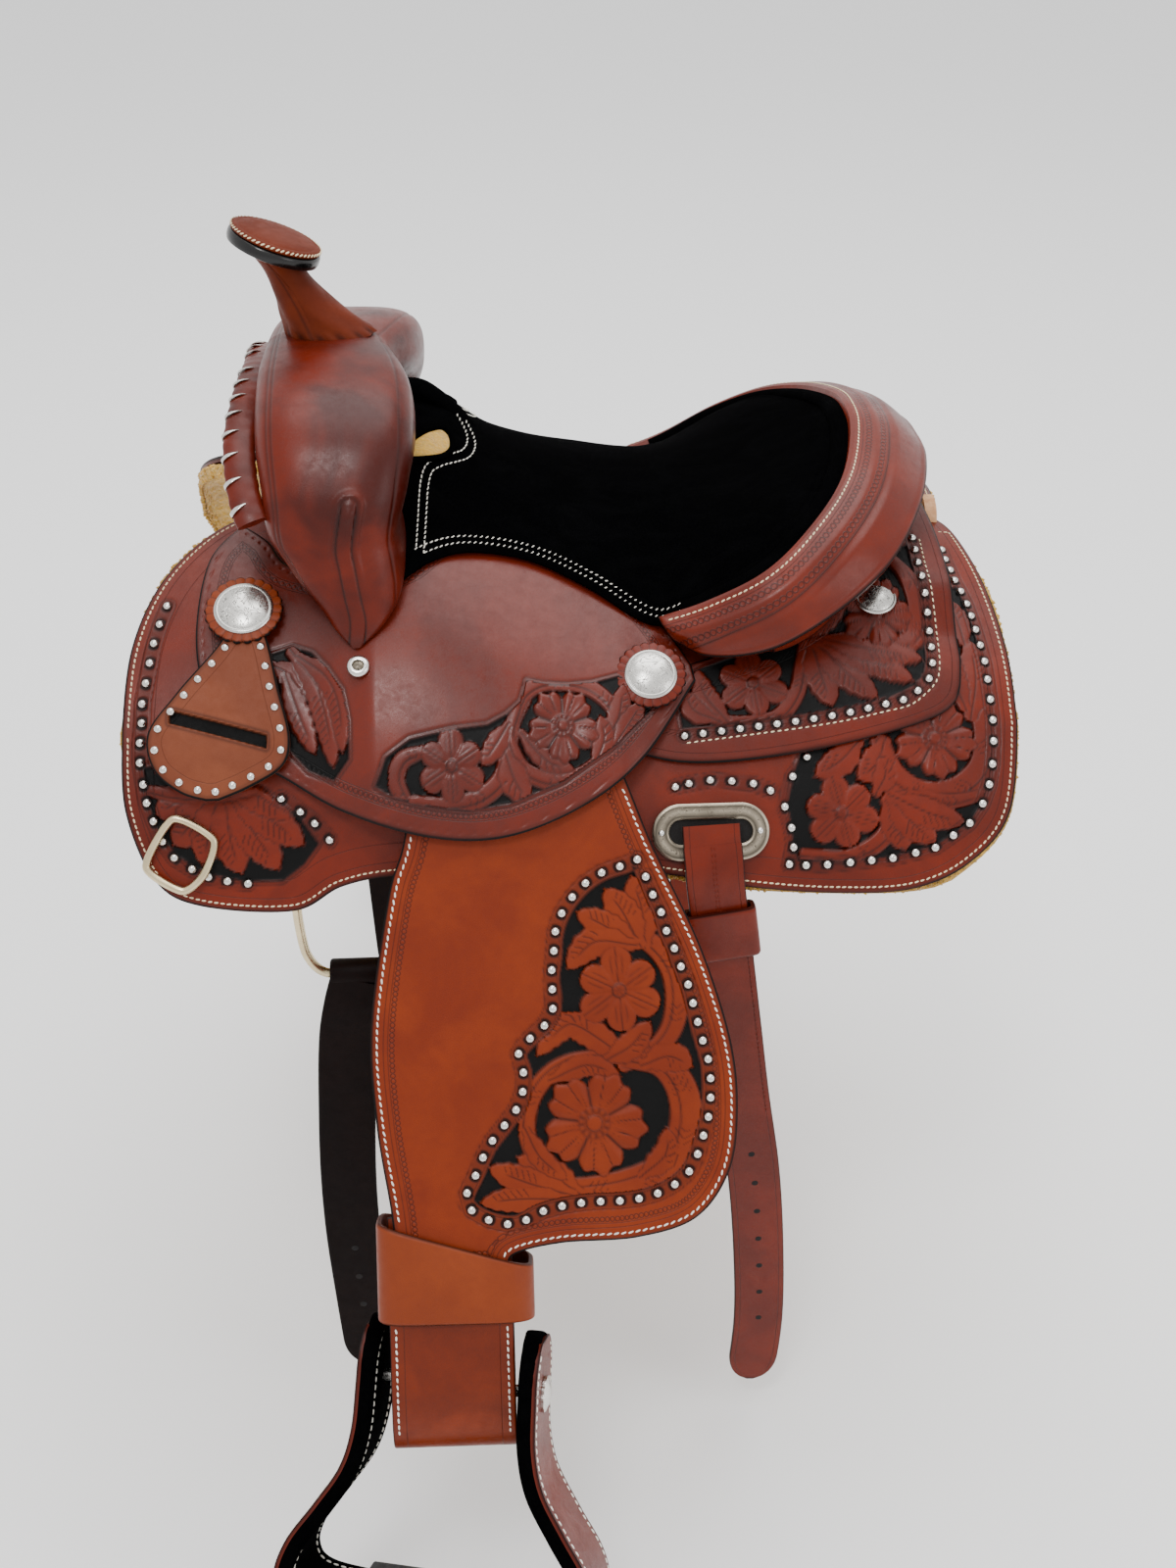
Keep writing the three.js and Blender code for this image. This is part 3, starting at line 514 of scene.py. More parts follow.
# ---- carving: every motif is drawn in (x, a) millimetres ----
class Carving:
    """Relief, dye and cut lines of a tooled field. Later motifs lie over earlier ones."""

    def __init__(self, x, a, field):
        field = np.array(field, float)
        self.x, self.a = x, a
        self.field = inside(field, x, a)
        rim, _ = edge_distance(np.vstack([field, field[:1]]), x, a)
        signed = np.where(self.field, rim, -rim)
        matting = 0.16 * (np.sin(x * 2.9 + a * 0.7) * np.sin(a * 2.9 - x * 0.7))
        self.h = np.where(self.field, matting - ease(signed, 0, 1.3), 0) - 0.45 * bell(signed + 2.2, 0.7)
        self.dye = ease(signed, -0.4, 0.5)
        self.cut = 0.9 * bell(signed + 0.2, 1.0) + 0.75 * bell(signed + 2.2, 0.6)

    def lay(self, gap, height, cut):
        """Covers the places where gap is above zero with a new height and new cut lines."""
        cover = np.clip(gap / 0.8 + 0.5, 0, 1) * self.field
        self.h = lerp(self.h, height, cover)
        self.dye = self.dye * (1 - cover)
        self.cut = lerp(self.cut, np.clip(cut, 0, 1), cover)

    def polar(self, cx, ca, turn):
        dx, da = self.x - cx, self.a - ca
        return np.hypot(dx, da), np.arctan2(da, dx) - turn

    def lily(self, cx, ca, r, turn):
        """A flower of six pointed petals round a small core."""
        petal_angle = PI / 3
        rad, th = self.polar(cx, ca, turn)
        k = np.round(th / petal_angle)
        ph = th - k * petal_angle
        odd = np.abs(k) % 2
        size = r * (1 - 0.06 * odd)
        p, q = rad * np.cos(ph), rad * np.sin(ph)
        t = np.clip(p / size, 0, 1)
        w = np.maximum(size * 0.62 * t ** 0.62 * (1 - t) ** 0.5 * (1 + 0.5 * t), 1e-3)
        gap = w - np.abs(q)
        mask = np.where(p > 0, np.minimum(gap, size - p), -9)
        side_cut = 0.55 * bell(np.abs(q) - 0.36 * w, 0.55) * within(t, 0.3, 0.45, 0.7, 0.85)
        high = (0.5 + 0.45 * odd + 0.9 * np.sqrt(np.clip(gap / w, 0, 1)) * ease(t, 0, 0.4)
                - 0.4 * bell(q, 0.6) * (t > 0.2))
        cut = 0.85 * bell(gap, 0.8) + 0.75 * bell(q, 0.5) * (t > 0.16) + side_cut
        self.lay(mask, high - 0.35 * side_cut, cut)
        core = r * 0.17
        dots = bell(rad - core * 0.55, core * 0.3) * (0.5 + 0.5 * np.cos(6 * th))
        self.lay(core - rad, 1.2 + 0.9 * half_round(rad / core) + 0.3 * dots,
                 0.9 * bell(rad - core, 0.7) + 0.4 * (1 - dots))

    def ruffle(self, cx, ca, r, turn):
        """A flower of five broad pleated lobes round a ring of seeds."""
        lobes = 5
        rad, th = self.polar(cx, ca, turn)
        lobe = np.abs(np.cos(lobes * th / 2))
        reach = r * (0.64 + 0.30 * lobe ** 0.45 + 0.055 * np.cos(lobes * 3 * th) * lobe)
        t = np.clip(rad / reach, 0, 1)
        between = np.abs(np.arcsin(np.clip(np.cos(lobes * th / 2), -1, 1))) * 2 / lobes * rad
        folds = np.abs(np.cos(lobes * 1.5 * th))
        pleat = bell(folds * rad * 0.28, 0.75) * within(t, 0.34, 0.6, 0.94, 1.0) * lobe ** 0.5
        vein = bell(np.cos(lobes * 2.5 * th) * rad * 0.2, 0.4) * within(t, 0.22, 0.4, 0.5, 0.68)
        high = (0.3 + 1.5 * ease(t, 0.1, 0.85) * ease(lobe, 0.05, 0.6) - 0.8 * ease(t, 0.9, 1.0)
                - 0.7 * pleat)
        cut = (0.95 * bell(between, 1.0) * ease(t, 0.2, 0.42) + 0.95 * pleat + 0.55 * vein
               + 0.85 * bell(reach - rad, 0.8))
        self.lay(reach - rad, high, cut)
        ring = r * 0.24
        seeds = bell(rad - ring, r * 0.05) * (0.5 + 0.5 * np.cos(12 * th))
        self.lay(ring * 1.25 - rad, 0.8 + 0.7 * seeds, 0.7 * (1 - seeds) * bell(rad - ring, r * 0.09))
        core = r * 0.15
        self.lay(core - rad, 1.3 + 0.8 * half_round(rad / core), 0.9 * bell(rad - core, 0.7))

    def ribbon(self, points, width, leaf):
        """A veined leaf, or a lobed scroll, that follows a spline."""
        line = Curve(points, per=48)
        lo, hi = line.pts.min(0) - width, line.pts.max(0) + width
        pick = np.nonzero((self.x > lo[0]) & (self.x < hi[0]) & (self.a > lo[1]) & (self.a < hi[1]))
        if not len(pick[0]):
            return
        x, a = self.x[pick], self.a[pick]
        marks = np.linspace(0, 1, 180)
        pts, tan = line.at(marks), line.tangent(marks)
        d = np.stack([x, a], -1)[:, None] - pts[None]
        k = (d ** 2).sum(-1).argmin(1)
        dd = d[np.arange(len(k)), k]
        q = tan[k, 0] * dd[:, 1] - tan[k, 1] * dd[:, 0]
        reach = np.hypot(dd[:, 0], dd[:, 1])
        s = marks[k]
        run = s * line.length
        if leaf:
            w = 1.3 * width * np.sin(PI * np.clip(s, 0.04, 0.998) ** 0.85) ** 0.5
            w = w * (1 + 0.05 * np.sin(run * 0.9))
            veins = 0.5 + 0.5 * np.cos(2 * PI * (run - 0.7 * q) / 4.2)
            some = (q > 0.12 * w) & (q < 0.7 * w) & (s > 0.42) & (s < 0.86)
            lines = 0.85 * bell(q, 0.6) * (1 - ease(s, 0.7, 0.85)) + 0.7 * ease(veins, 0.75, 0.95) * some
            bulge = 0.25 + 0.8 * half_round(q / w) * (0.6 + 0.4 * s)
        else:
            w = 1.15 * width * (0.45 + 0.55 * np.sin(PI * np.clip(0.1 + 0.8 * s, 0, 1)) ** 0.8)
            veins = 0.5 + 0.5 * np.cos(2 * PI * (run + 0.8 * np.abs(q)) / 4.4)
            some = (np.abs(q) < 0.62 * w) & (np.mod(run, 34) < 11) & (run > 8)
            lines = (0.85 * bell(q - 0.34 * w, 0.65) * (1 - ease(s, 0.85, 0.95))
                     + 0.6 * ease(veins, 0.8, 0.95) * some)
            bulge = 0.3 + 0.75 * half_round(q / w) - 0.3 * ease(q / w, 0.2, 0.5)
        w = np.maximum(w, 0.4)
        full = np.full(self.x.shape, -9.0)
        full[pick] = np.minimum(w - np.abs(q), w + 0.6 - reach)
        high, cut = np.zeros(self.x.shape), np.zeros(self.x.shape)
        high[pick] = 0.35 + bulge - 0.35 * lines
        cut[pick] = 0.85 * bell(w - np.abs(q), 0.8) + lines
        self.lay(full, high, cut)

    def leaves(self, *rows):
        for points, width in rows:
            self.ribbon(points, width, True)

    def scrolls(self, *rows):
        for points, width in rows:
            self.ribbon(points, width, False)

    def studs(self, points, r=2.95):
        """The dark bed that each stud of a row is set in, in a channel between two lines."""
        pts = np.array(points, float)
        gap, _ = edge_distance(pts, self.x, self.a)
        groove = bell(gap - 1.75 * r, 0.45)
        near = np.full(self.x.shape, 99.0)
        for px, pa in pts:
            near = np.minimum(near, np.hypot(self.x - px, self.a - pa))
        bed = (1 - ease(near, 1.3 * r, 1.75 * r)) * (1 - ease(gap, r, 1.25 * r))
        free = (self.dye < 0.5) | (near < 1.7 * r)
        self.h = np.where(free, self.h - 0.35 * groove - 0.5 * bed, self.h)
        cut = 0.7 * groove + 0.4 * (1 - ease(gap, 1.2 * r, 1.7 * r))
        self.cut = np.where(free, np.maximum(self.cut, cut), self.cut)
        self.dye = np.maximum(self.dye, 0.9 * bed)

    def with_field(self, other):
        """Height, dye and cut of two fields that don't overlap."""
        return self.h + other.h, np.maximum(self.dye, other.dye), np.maximum(self.cut, other.cut)


# ---- materials ----
class Shader:
    """A material's node tree. Sockets and plain numbers can both be linked."""

    def __init__(self, name):
        self.mat = bpy.data.materials.new(name)
        self.mat.use_nodes = True
        self.tree = self.mat.node_tree
        self.tree.nodes.clear()
        out = self.node("ShaderNodeOutputMaterial")
        self.bsdf = self.node("ShaderNodeBsdfPrincipled")
        self.link(self.bsdf.outputs[0], out.inputs[0])
        self.place = self.node("ShaderNodeTexCoord").outputs["Object"]

    def node(self, kind, **props):
        made = self.tree.nodes.new(kind)
        for key, value in props.items():
            setattr(made, key, value)
        return made

    def link(self, a, b):
        if hasattr(a, "is_linked"):
            self.tree.links.new(a, b)
        elif b.type == "RGBA":
            b.default_value = (*a[:3], 1)
        else:
            b.default_value = a

    def math(self, op, a, b=0.0):
        n = self.node("ShaderNodeMath", operation=op)
        self.link(a, n.inputs[0])
        self.link(b, n.inputs[1])
        return n.outputs[0]

    def add(self, *terms):
        total = terms[0]
        for term in terms[1:]:
            total = self.math("ADD", total, term)
        return total

    def times(self, a, b):
        return self.math("MULTIPLY", a, b)

    def minus(self, a, b):
        return self.math("SUBTRACT", a, b)

    def most(self, a, b):
        return self.math("MAXIMUM", a, b)

    def near(self, value, lo, hi):
        """1 where the value is within lo of zero, falling smoothly to 0 at hi."""
        return self.span(self.math("ABSOLUTE", value), lo, hi, 1, 0, True)

    def span(self, value, lo, hi, a=0.0, b=1.0, smooth=False):
        n = self.node("ShaderNodeMapRange", interpolation_type="SMOOTHSTEP" if smooth else "LINEAR")
        for key, v in zip(("Value", "From Min", "From Max", "To Min", "To Max"), (value, lo, hi, a, b)):
            self.link(v, n.inputs[key])
        return n.outputs[0]

    def mix(self, t, a, b):
        n = self.node("ShaderNodeMix", data_type="RGBA")
        self.link(t, n.inputs[0])
        self.link(a, n.inputs[6])
        self.link(b, n.inputs[7])
        return n.outputs[2]

    def noise(self, scale, detail=3.0, rough=0.55, twist=0.0, stretch=None):
        n = self.node("ShaderNodeTexNoise")
        n.inputs["Scale"].default_value = scale
        n.inputs["Detail"].default_value = detail
        n.inputs["Roughness"].default_value = rough
        n.inputs["Distortion"].default_value = twist
        self.link(self.stretched(stretch) if stretch else self.place, n.inputs["Vector"])
        return n.outputs["Fac"]

    def stretched(self, scale):
        n = self.node("ShaderNodeMapping")
        n.inputs["Scale"].default_value = scale
        self.link(self.place, n.inputs["Vector"])
        return n.outputs[0]

    def cells(self, scale):
        n = self.node("ShaderNodeTexVoronoi")
        n.inputs["Scale"].default_value = scale
        self.link(self.place, n.inputs["Vector"])
        return n.outputs["Distance"]

    def attr(self, name):
        return self.node("ShaderNodeAttribute", attribute_name=name).outputs["Fac"]

    def bump(self, height, strength, distance):
        n = self.node("ShaderNodeBump")
        n.inputs["Strength"].default_value = strength
        n.inputs["Distance"].default_value = distance
        self.link(height, n.inputs["Height"])
        return n.outputs[0]

    def finish(self, **inputs):
        names = {"color": "Base Color", "rough": "Roughness", "metal": "Metallic", "normal": "Normal",
                 "coat": "Coat Weight", "coat_rough": "Coat Roughness", "sheen": "Sheen Weight",
                 "sheen_rough": "Sheen Roughness", "sheen_tint": "Sheen Tint",
                 "specular": "Specular IOR Level", "sub": "Subsurface Weight",
                 "sub_scale": "Subsurface Scale"}
        for key, value in inputs.items():
            self.link(value, self.bsdf.inputs[names[key]])
        return self.mat


def srgb(r, g, b):
    return tuple(c / 255 / 12.92 if c <= 10 else ((c / 255 + 0.055) / 1.055) ** 2.4 for c in (r, g, b))


def darker(color, share):
    return tuple(share * k for k in color)


def leather(name, light, dark, gloss, coat, grain=1.0, lines=(), beads=(), rope=None, mottle=0.5, spec=0.16):
    """Oiled leather: grain, mottled colour, the dye and cut attributes, and a tooled border.

    The border follows the edge attribute: lines are (distance, width, depth), beads are
    (distance, pitch, radius) and a rope is one (distance, pitch, width).
    """
    s = Shader(name)
    blotch = s.span(s.noise(14, 3, 0.6, 0.6), 0.34, 0.68, smooth=True)
    fine = s.span(s.noise(150, 5, 0.65, 0.4), 0.3, 0.75)
    scuff = s.span(s.noise(40, 5, 0.7, 0.2, (1, 0.35, 1)), 0.5, 0.78)
    color = s.mix(s.times(blotch, mottle), light, dark)
    color = s.mix(s.times(fine, 0.28), color, dark)
    cut, dye, edge, along = s.attr("cut"), s.attr("dye"), s.attr("edge"), s.attr("along")
    height = s.add(s.times(s.span(s.cells(1500), 0.05, 0.5), 0.45 * grain),
                   s.times(s.noise(2600, 3), 0.3 * grain), s.times(s.noise(90, 4, 0.6), 0.8))
    for at, width, depth in lines:
        line = s.near(s.minus(edge, at), 0, width)
        height = s.minus(height, s.times(line, 4.0 * depth))
        cut = s.most(cut, s.times(line, 0.75 * depth))
    for at, pitch, radius in beads:
        dx = s.times(s.minus(s.math("FRACT", s.math("DIVIDE", along, pitch)), 0.5), pitch)
        dy = s.minus(edge, at)
        r = s.math("SQRT", s.add(s.times(dx, dx), s.times(dy, dy)))
        dot = s.span(r, radius * 0.35, radius, 1, 0, True)
        ring = s.near(s.minus(r, radius), 0, radius * 0.4)
        height = s.add(height, s.minus(s.times(dot, 2.0), s.times(ring, 2.4)))
        cut = s.most(cut, s.times(ring, 0.8))
    if rope:
        at, pitch, width = rope
        lean = s.add(s.math("DIVIDE", along, pitch), s.times(s.minus(edge, at), 0.45))
        strand = s.near(s.minus(s.math("FRACT", lean), 0.5), 0, 0.16)
        groove = s.times(strand, s.near(s.minus(edge, at), width * 0.8, width))
        height = s.minus(height, s.times(groove, 3.0))
        cut = s.most(cut, s.times(groove, 0.7))
    # cut darkens tooled lines as antique stain; on the horn wrap it also carries painted shade in the creases
    # between the crimps
    color = s.mix(s.times(cut, 0.82), color, darker(dark, 0.16))
    color = s.mix(dye, color, (0.0016, 0.0014, 0.0014))
    rough = s.add(s.span(fine, 0, 1, gloss - 0.05, gloss + 0.1), s.times(scuff, 0.12), s.times(dye, 0.14))
    return s.finish(color=color, rough=rough, normal=s.bump(height, 0.55, 0.00022),
                    coat=s.span(dye, 0, 1, coat, 0.02), specular=s.span(dye, 0, 1, spec, 0.12),
                    coat_rough=s.span(fine, 0, 1, gloss - 0.16, gloss + 0.06))


def metal(name, tint, rough, engraved=0.0, age=0.3):
    """Worn metal; the field attribute says where it is engraved with scrolls."""
    s = Shader(name)
    marks = s.noise(420, 4, 0.7, 0.3, (1, 0.25, 1))
    haze = s.noise(60, 4, 0.6)
    cut = s.attr("cut")
    height = s.add(s.times(marks, 0.5), s.times(haze, 0.4))
    if engraved:
        scroll = s.near(s.minus(s.noise(150, 1.0, 0.4, 2.4), 0.5), 0.0, 0.035)
        line = s.times(scroll, s.attr("field"))
        height = s.minus(height, s.times(line, 3.0))
        cut = s.most(cut, s.times(line, engraved))
    color = s.mix(s.times(s.span(haze, 0.35, 0.7), age), tint, darker(tint, 0.62))
    # cut darkens engraved lines as patina; on the fork screw's head it also paints the shade of a slot that
    # is not modelled
    color = s.mix(s.times(cut, 0.9), color, darker(tint, 0.06))
    return s.finish(color=color, metal=1.0, rough=s.span(marks, 0.3, 0.7, rough, rough + 0.14),
                    normal=s.bump(height, 0.35, 0.00012))


def suede(name, shade, tip, sheen):
    s = Shader(name)
    nap = s.noise(900, 5, 0.75)
    brushed = s.noise(26, 4, 0.65, 1.2, (1, 1.6, 1))
    color = s.mix(s.times(s.span(nap, 0.4, 0.72), 0.5), shade, tip)
    color = s.mix(s.times(s.span(brushed, 0.45, 0.75), 0.35), color, tip)
    height = s.add(nap, s.times(s.noise(3200, 3), 0.7))
    return s.finish(color=color, rough=0.96, sheen=sheen, sheen_rough=0.5, sheen_tint=(0.1, 0.1, 0.11),
                    specular=0.005, normal=s.bump(height, 0.8, 0.0005))


def wool(name):
    s = Shader(name)
    curl = s.noise(170, 4, 0.6, 1.5)
    dirt = s.noise(22, 4, 0.6)
    color = s.mix(s.span(dirt, 0.35, 0.7), srgb(210, 162, 44), srgb(170, 124, 24))
    # painted shade: greyer where the curl bump is low, in the hollows between the curls
    color = s.mix(s.span(curl, 0.4, 0.62, 0.4, 0), color, srgb(150, 122, 70))
    height = s.add(curl, s.times(s.noise(900, 4, 0.7), 0.4))
    return s.finish(color=color, rough=0.95, sheen=0.4, sub=0.1, sub_scale=0.003,
                    normal=s.bump(height, 1.0, 0.002))


def plain(name, a, b, rough, scale, bump=0.3, stretch=None):
    """Two mottled colours with a fine grain."""
    s = Shader(name)
    n = s.noise(scale, 5, 0.65, 0.3, stretch)
    return s.finish(color=s.mix(s.span(n, 0.35, 0.68), a, b), rough=s.span(n, 0.3, 0.7, rough, rough + 0.14),
                    normal=s.bump(s.add(n, s.noise(scale * 6, 3)), bump, 0.0004))


RUSSET, RUSSET_D = srgb(120, 41, 5), srgb(90, 21, 2)
DEEP, DEEP_D = srgb(106, 28, 5), srgb(62, 10, 2)
WINE, WINE_D = srgb(96, 24, 5), srgb(54, 8, 2)
TAN, TAN_D = srgb(126, 52, 16), srgb(96, 32, 8)
m_fender = leather("leather_fender", RUSSET, RUSSET_D, 0.44, 0.06,
                   lines=[(8.2, 0.5, 0.8), (11.0, 0.5, 0.7)], beads=[(13.6, 3.4, 1.5)])
m_jockey = leather("leather_jockey", WINE, WINE_D, 0.32, 0.3,
                   lines=[(11.0, 0.45, 0.9), (16.4, 0.45, 0.9)], beads=[(13.7, 3.6, 1.5)])
m_rear = leather("leather_rear_jockey", WINE, WINE_D, 0.36, 0.12,
                 lines=[(6.2, 0.4, 0.8), (20.5, 0.4, 0.7)], rope=(18.0, 4.0, 1.8))
m_skirt = leather("leather_skirt", DEEP, DEEP_D, 0.36, 0.14, lines=[(9.0, 0.45, 0.8), (20.5, 0.4, 0.7)])
m_roll = leather("leather_roll", DEEP, DEEP_D, 0.32, 0.24, lines=[(8.0, 0.4, 0.9), (26.5, 0.5, 1.0)],
                 beads=[(12.0, 4.0, 1.8), (22.0, 4.0, 1.8)])
m_swell = leather("leather_swell", WINE, WINE_D, 0.33, 0.16, mottle=0.95)
m_horn = leather("leather_horn", srgb(98, 36, 12), srgb(58, 14, 4), 0.5, 0.03, grain=1.8, spec=0.08)
m_keeper = leather("leather_keeper", srgb(116, 60, 36), srgb(90, 40, 22), 0.52, 0.02, lines=[(9.6, 0.4, 0.5)])
m_strap = leather("leather_strap", DEEP, DEEP_D, 0.36, 0.14)
m_tan = leather("leather_tan", TAN, TAN_D, 0.42, 0.1)
# the latigo's colour: dark brown leather, made near-black as painted shade, the strap hanging in shadow
m_latigo_dark_and_shade = leather("leather_dark_and_painted_shade", srgb(18, 6, 4), srgb(5, 1, 1), 0.5, 0.03, spec=0.06)
m_black = leather("leather_black", srgb(8, 7, 7), srgb(3, 3, 3), 0.22, 0.5)
m_pale = plain("leather_pale", srgb(214, 164, 118), srgb(180, 124, 78), 0.55, 240)
m_under = plain("leather_flesh", srgb(150, 104, 66), srgb(112, 70, 40), 0.8, 420, bump=0.5)
m_suede = suede("suede_black", (0.0004, 0.0004, 0.0005), (0.003, 0.003, 0.0034), 0.0)
m_fleece = wool("fleece_cream")
m_thread = plain("thread_cream", srgb(236, 222, 190), srgb(196, 172, 128), 0.75, 900)
m_white = plain("thread_white", srgb(240, 236, 226), srgb(206, 200, 186), 0.75, 900)
m_wood = plain("tree_wood", srgb(196, 150, 96), srgb(146, 98, 54), 0.6, 60, bump=0.5, stretch=(0.25, 2, 2))
m_hide = plain("tree_rawhide", srgb(206, 186, 146), srgb(170, 140, 96), 0.5, 120)
m_silver = metal("silver_engraved", (0.66, 0.64, 0.60), 0.2, engraved=0.8)
m_antique = metal("silver_antique", (0.40, 0.34, 0.26), 0.27, engraved=0.9, age=0.8)
m_nickel = metal("nickel", (0.72, 0.70, 0.66), 0.13)
m_brass = metal("brass_aged", (0.70, 0.58, 0.36), 0.22, age=0.6)
m_rubber = plain("rubber_black", srgb(24, 24, 25), srgb(12, 12, 13), 0.6, 500)
# painted shade: a near-black colour for the insides of holes and slots that are not cut through
m_hole_shade = plain("painted_hole_shade", (0.003, 0.002, 0.002), (0.006, 0.004, 0.003), 0.9, 500)
m_neck = leather("leather_neck", RUSSET, DEEP_D, 0.34, 0.14, lines=[(9.0, 0.5, 0.7)])
m_billet = leather("leather_billet", DEEP, DEEP_D, 0.36, 0.12, lines=[(4.2, 0.4, 0.8)])
STUD = dome(3.1, 2.3)


def outer(face):
    """A face's function from its height n, for panel and on_face."""
    return lambda x, a, h: side(x, a, face(x, a) + h)


def studs_on(name, xa, face, body, scale):
    p, n = on_face(face, xa)
    v, f = placed(STUD, p, n, FORWARD, scale)
    both(name, v, f, m_nickel, body, slot="silver")


def edged(edge, clear, full, share=1.0):
    """Attributes of a leather with dyed edges."""
    return {"edge": edge.ravel(), "dye": share * (1 - ease(edge.ravel(), clear, full))}


def row(points, pitch, per=20, closed=False):
    """Evenly spaced points along a curve."""
    c = Curve(points, per=per, closed=closed)
    return c.at(np.linspace(0, 1, round(c.length / pitch) + 1)[:-1 if closed else None])


def stitched(xa, face, **more):
    """Stitches along a line of (x, a) points on a face."""
    p, n = on_face(face, xa)
    return stitches(p, n, **more)


# ---- skirts ----
SKIRT_TOP = [[-296, 212], [-292, 162], [-278, 118], [-255, 84], [-228, 62], [-190, 48], [-120, 34], [0, 22],
             [150, 14], [240, 8], [268, 8], [279, 60], [287, 150], [287, 205]]
SKIRT_BOTTOM = [[-296, 218], [-294, 262], [-277, 304], [-249, 321], [-190, 326], [-158, 311], [-120, 305],
                [-40, 304], [40, 308], [102, 319], [160, 325], [212, 324], [250, 308], [277, 275], [287, 212]]
skirt_face = outer(lambda x, a: 4.5 + 0 * x)
skirt_ring = np.vstack([polyline(SKIRT_TOP, per=16), polyline(SKIRT_BOTTOM, per=16)[::-1]])
REAR_FIELD = [[142, 228], [136, 246], [131, 266], [133, 281], [134, 294], [137, 303], [171, 304], [199, 302],
              [214, 299], [227, 296], [239, 288], [250, 280], [258, 268], [263, 255], [266, 241], [268, 225],
              [269, 195], [269, 166], [266, 130], [262, 100], [240, 110], [230, 190], [190, 222]]
FRONT_FIELD = [[-282, 236], [-279, 257], [-273, 274], [-263, 288], [-252, 296], [-236, 302], [-218, 306],
               [-196, 306], [-182, 296], [-172, 284], [-184, 268], [-206, 252], [-225, 244], [-250, 238],
               [-268, 234]]
K_STUDS = [(145, 234), (135, 247), (129, 267), (133, 281), (134, 294), (131, 305), (142, 306), (156, 306),
           (171, 305), (185, 304), (199, 303), (214, 300), (227, 297), (239, 289), (250, 281), (259, 268),
           (264, 255), (267, 241), (269, 225), (270, 210), (270, 195), (270, 180), (270, 166), (269, 153),
           (268, 140), (267, 128), (266, 117), (264, 105), (262, 94), (261, 83), (260, 71), (260, 59)]
ARCH = [(58, 252), (67, 250), (81, 248), (95, 249), (109, 251), (120, 256)]
L_STUDS = [(-270, 132), (-274, 145), (-277, 158), (-279, 171), (-281, 184), (-283, 197), (-283, 209),
           (-284, 221), (-284, 233), (-282, 246), (-280, 257), (-276, 268), (-271, 280), (-264, 290),
           (-253, 297), (-243, 302), (-231, 305), (-218, 307)]
KEEPER_STUDS = [(-195, 257), (-183, 265), (-174, 272), (-165, 282)]


def skirt_relief(x, a, edge):
    c = Carving(x, a, REAR_FIELD)
    c.scrolls(([[142, 299], [168, 302], [190, 292], [201, 274], [200, 252], [194, 228]], 5.5),
              ([[194, 226], [202, 248], [220, 261], [243, 259], [260, 244], [265, 222], [262, 200],
                [254, 184]], 8.5),
              ([[198, 262], [216, 263], [238, 266], [258, 262]], 5.0))
    c.leaves(([[197, 266], [203, 284], [207, 298]], 8.5), ([[200, 264], [212, 280], [227, 293]], 8.5),
             ([[204, 264], [224, 274], [246, 280]], 8.0), ([[196, 226], [190, 240], [178, 250]], 8.5),
             ([[178, 226], [166, 238], [150, 247]], 8.0), ([[256, 206], [262, 180], [262, 150]], 8.5),
             ([[252, 200], [246, 176], [248, 150]], 7.5), ([[190, 258], [196, 246], [192, 236]], 6.5),
             ([[258, 150], [256, 130], [250, 112]], 7.0))
    c.lily(166, 272, 25, 0.3)
    c.ruffle(230, 223, 29, 0.2)
    c.studs(K_STUDS)
    c.studs(ARCH)
    d = Carving(x, a, FRONT_FIELD)
    d.leaves(([[-258, 186], [-266, 210], [-274, 238]], 10), ([[-246, 250], [-262, 258], [-274, 264]], 9),
             ([[-242, 256], [-254, 272], [-264, 282]], 9.5), ([[-236, 258], [-242, 280], [-246, 294]], 9.5),
             ([[-230, 258], [-228, 280], [-222, 300]], 9.5), ([[-226, 258], [-212, 278], [-198, 298]], 9.5),
             ([[-224, 254], [-204, 268], [-182, 284]], 9), ([[-226, 250], [-208, 256], [-190, 268]], 8))
    d.scrolls(([[-278, 250], [-256, 254], [-234, 254], [-214, 252]], 4.5))
    d.studs(L_STUDS)
    d.studs(KEEPER_STUDS)
    return c.with_field(d)


v, f, at = panel(SKIRT_TOP, SKIRT_BOTTOM, skirt_face, lambda x, a: side(x, a, 0 * x), 1.35, skirt_relief, 290)
both("skirt_leather", v, f, m_skirt, "saddle", at, ["skirt"], slot="russet_leather")
studs_on("skirt_studs", K_STUDS + ARCH + L_STUDS + KEEPER_STUDS, skirt_face, "saddle", 0.95)
seam = inward(skirt_ring, 4.2, skirt_ring)
v, f = stitched(seam[seam[:, 1] > 30], skirt_face, pitch=4.0, length=2.9, radius=0.55)
both("skirt_stitching", v, f, m_thread, "saddle", slot="pale_lace")

# ---- fleece: a thick woolly pad whose edge shows past the leather ----
FLEECE_TOP = [[-299, 214], [-281, 114], [-229, 56], [-120, 30], [0, 18], [150, 12], [240, 11], [268, 14],
              [288, 90], [290, 205]]
FLEECE_BOTTOM = [[-299, 218], [-280, 300], [-246, 317], [-214, 310], [-196, 290], [-110, 288], [-86, 300],
                 [40, 312], [110, 324], [215, 328], [254, 311], [280, 277], [290, 212]]
FLEECE_ROWS = (241, 121)
p, q = Curve(FLEECE_TOP), Curve(FLEECE_BOTTOM)
x, a, edge, _ = ruled(p, q, *FLEECE_ROWS)
lump = rng.normal(0, 1, FLEECE_ROWS)
for _ in range(2):
    around = [np.roll(lump, step, axis) for axis in (0, 1) for step in (1, -1)]
    lump = (lump + around[0] + around[1] + around[2] + around[3]) / 3
round_off = 5.5 * (1 - ease(edge, 0, 8)) ** 2
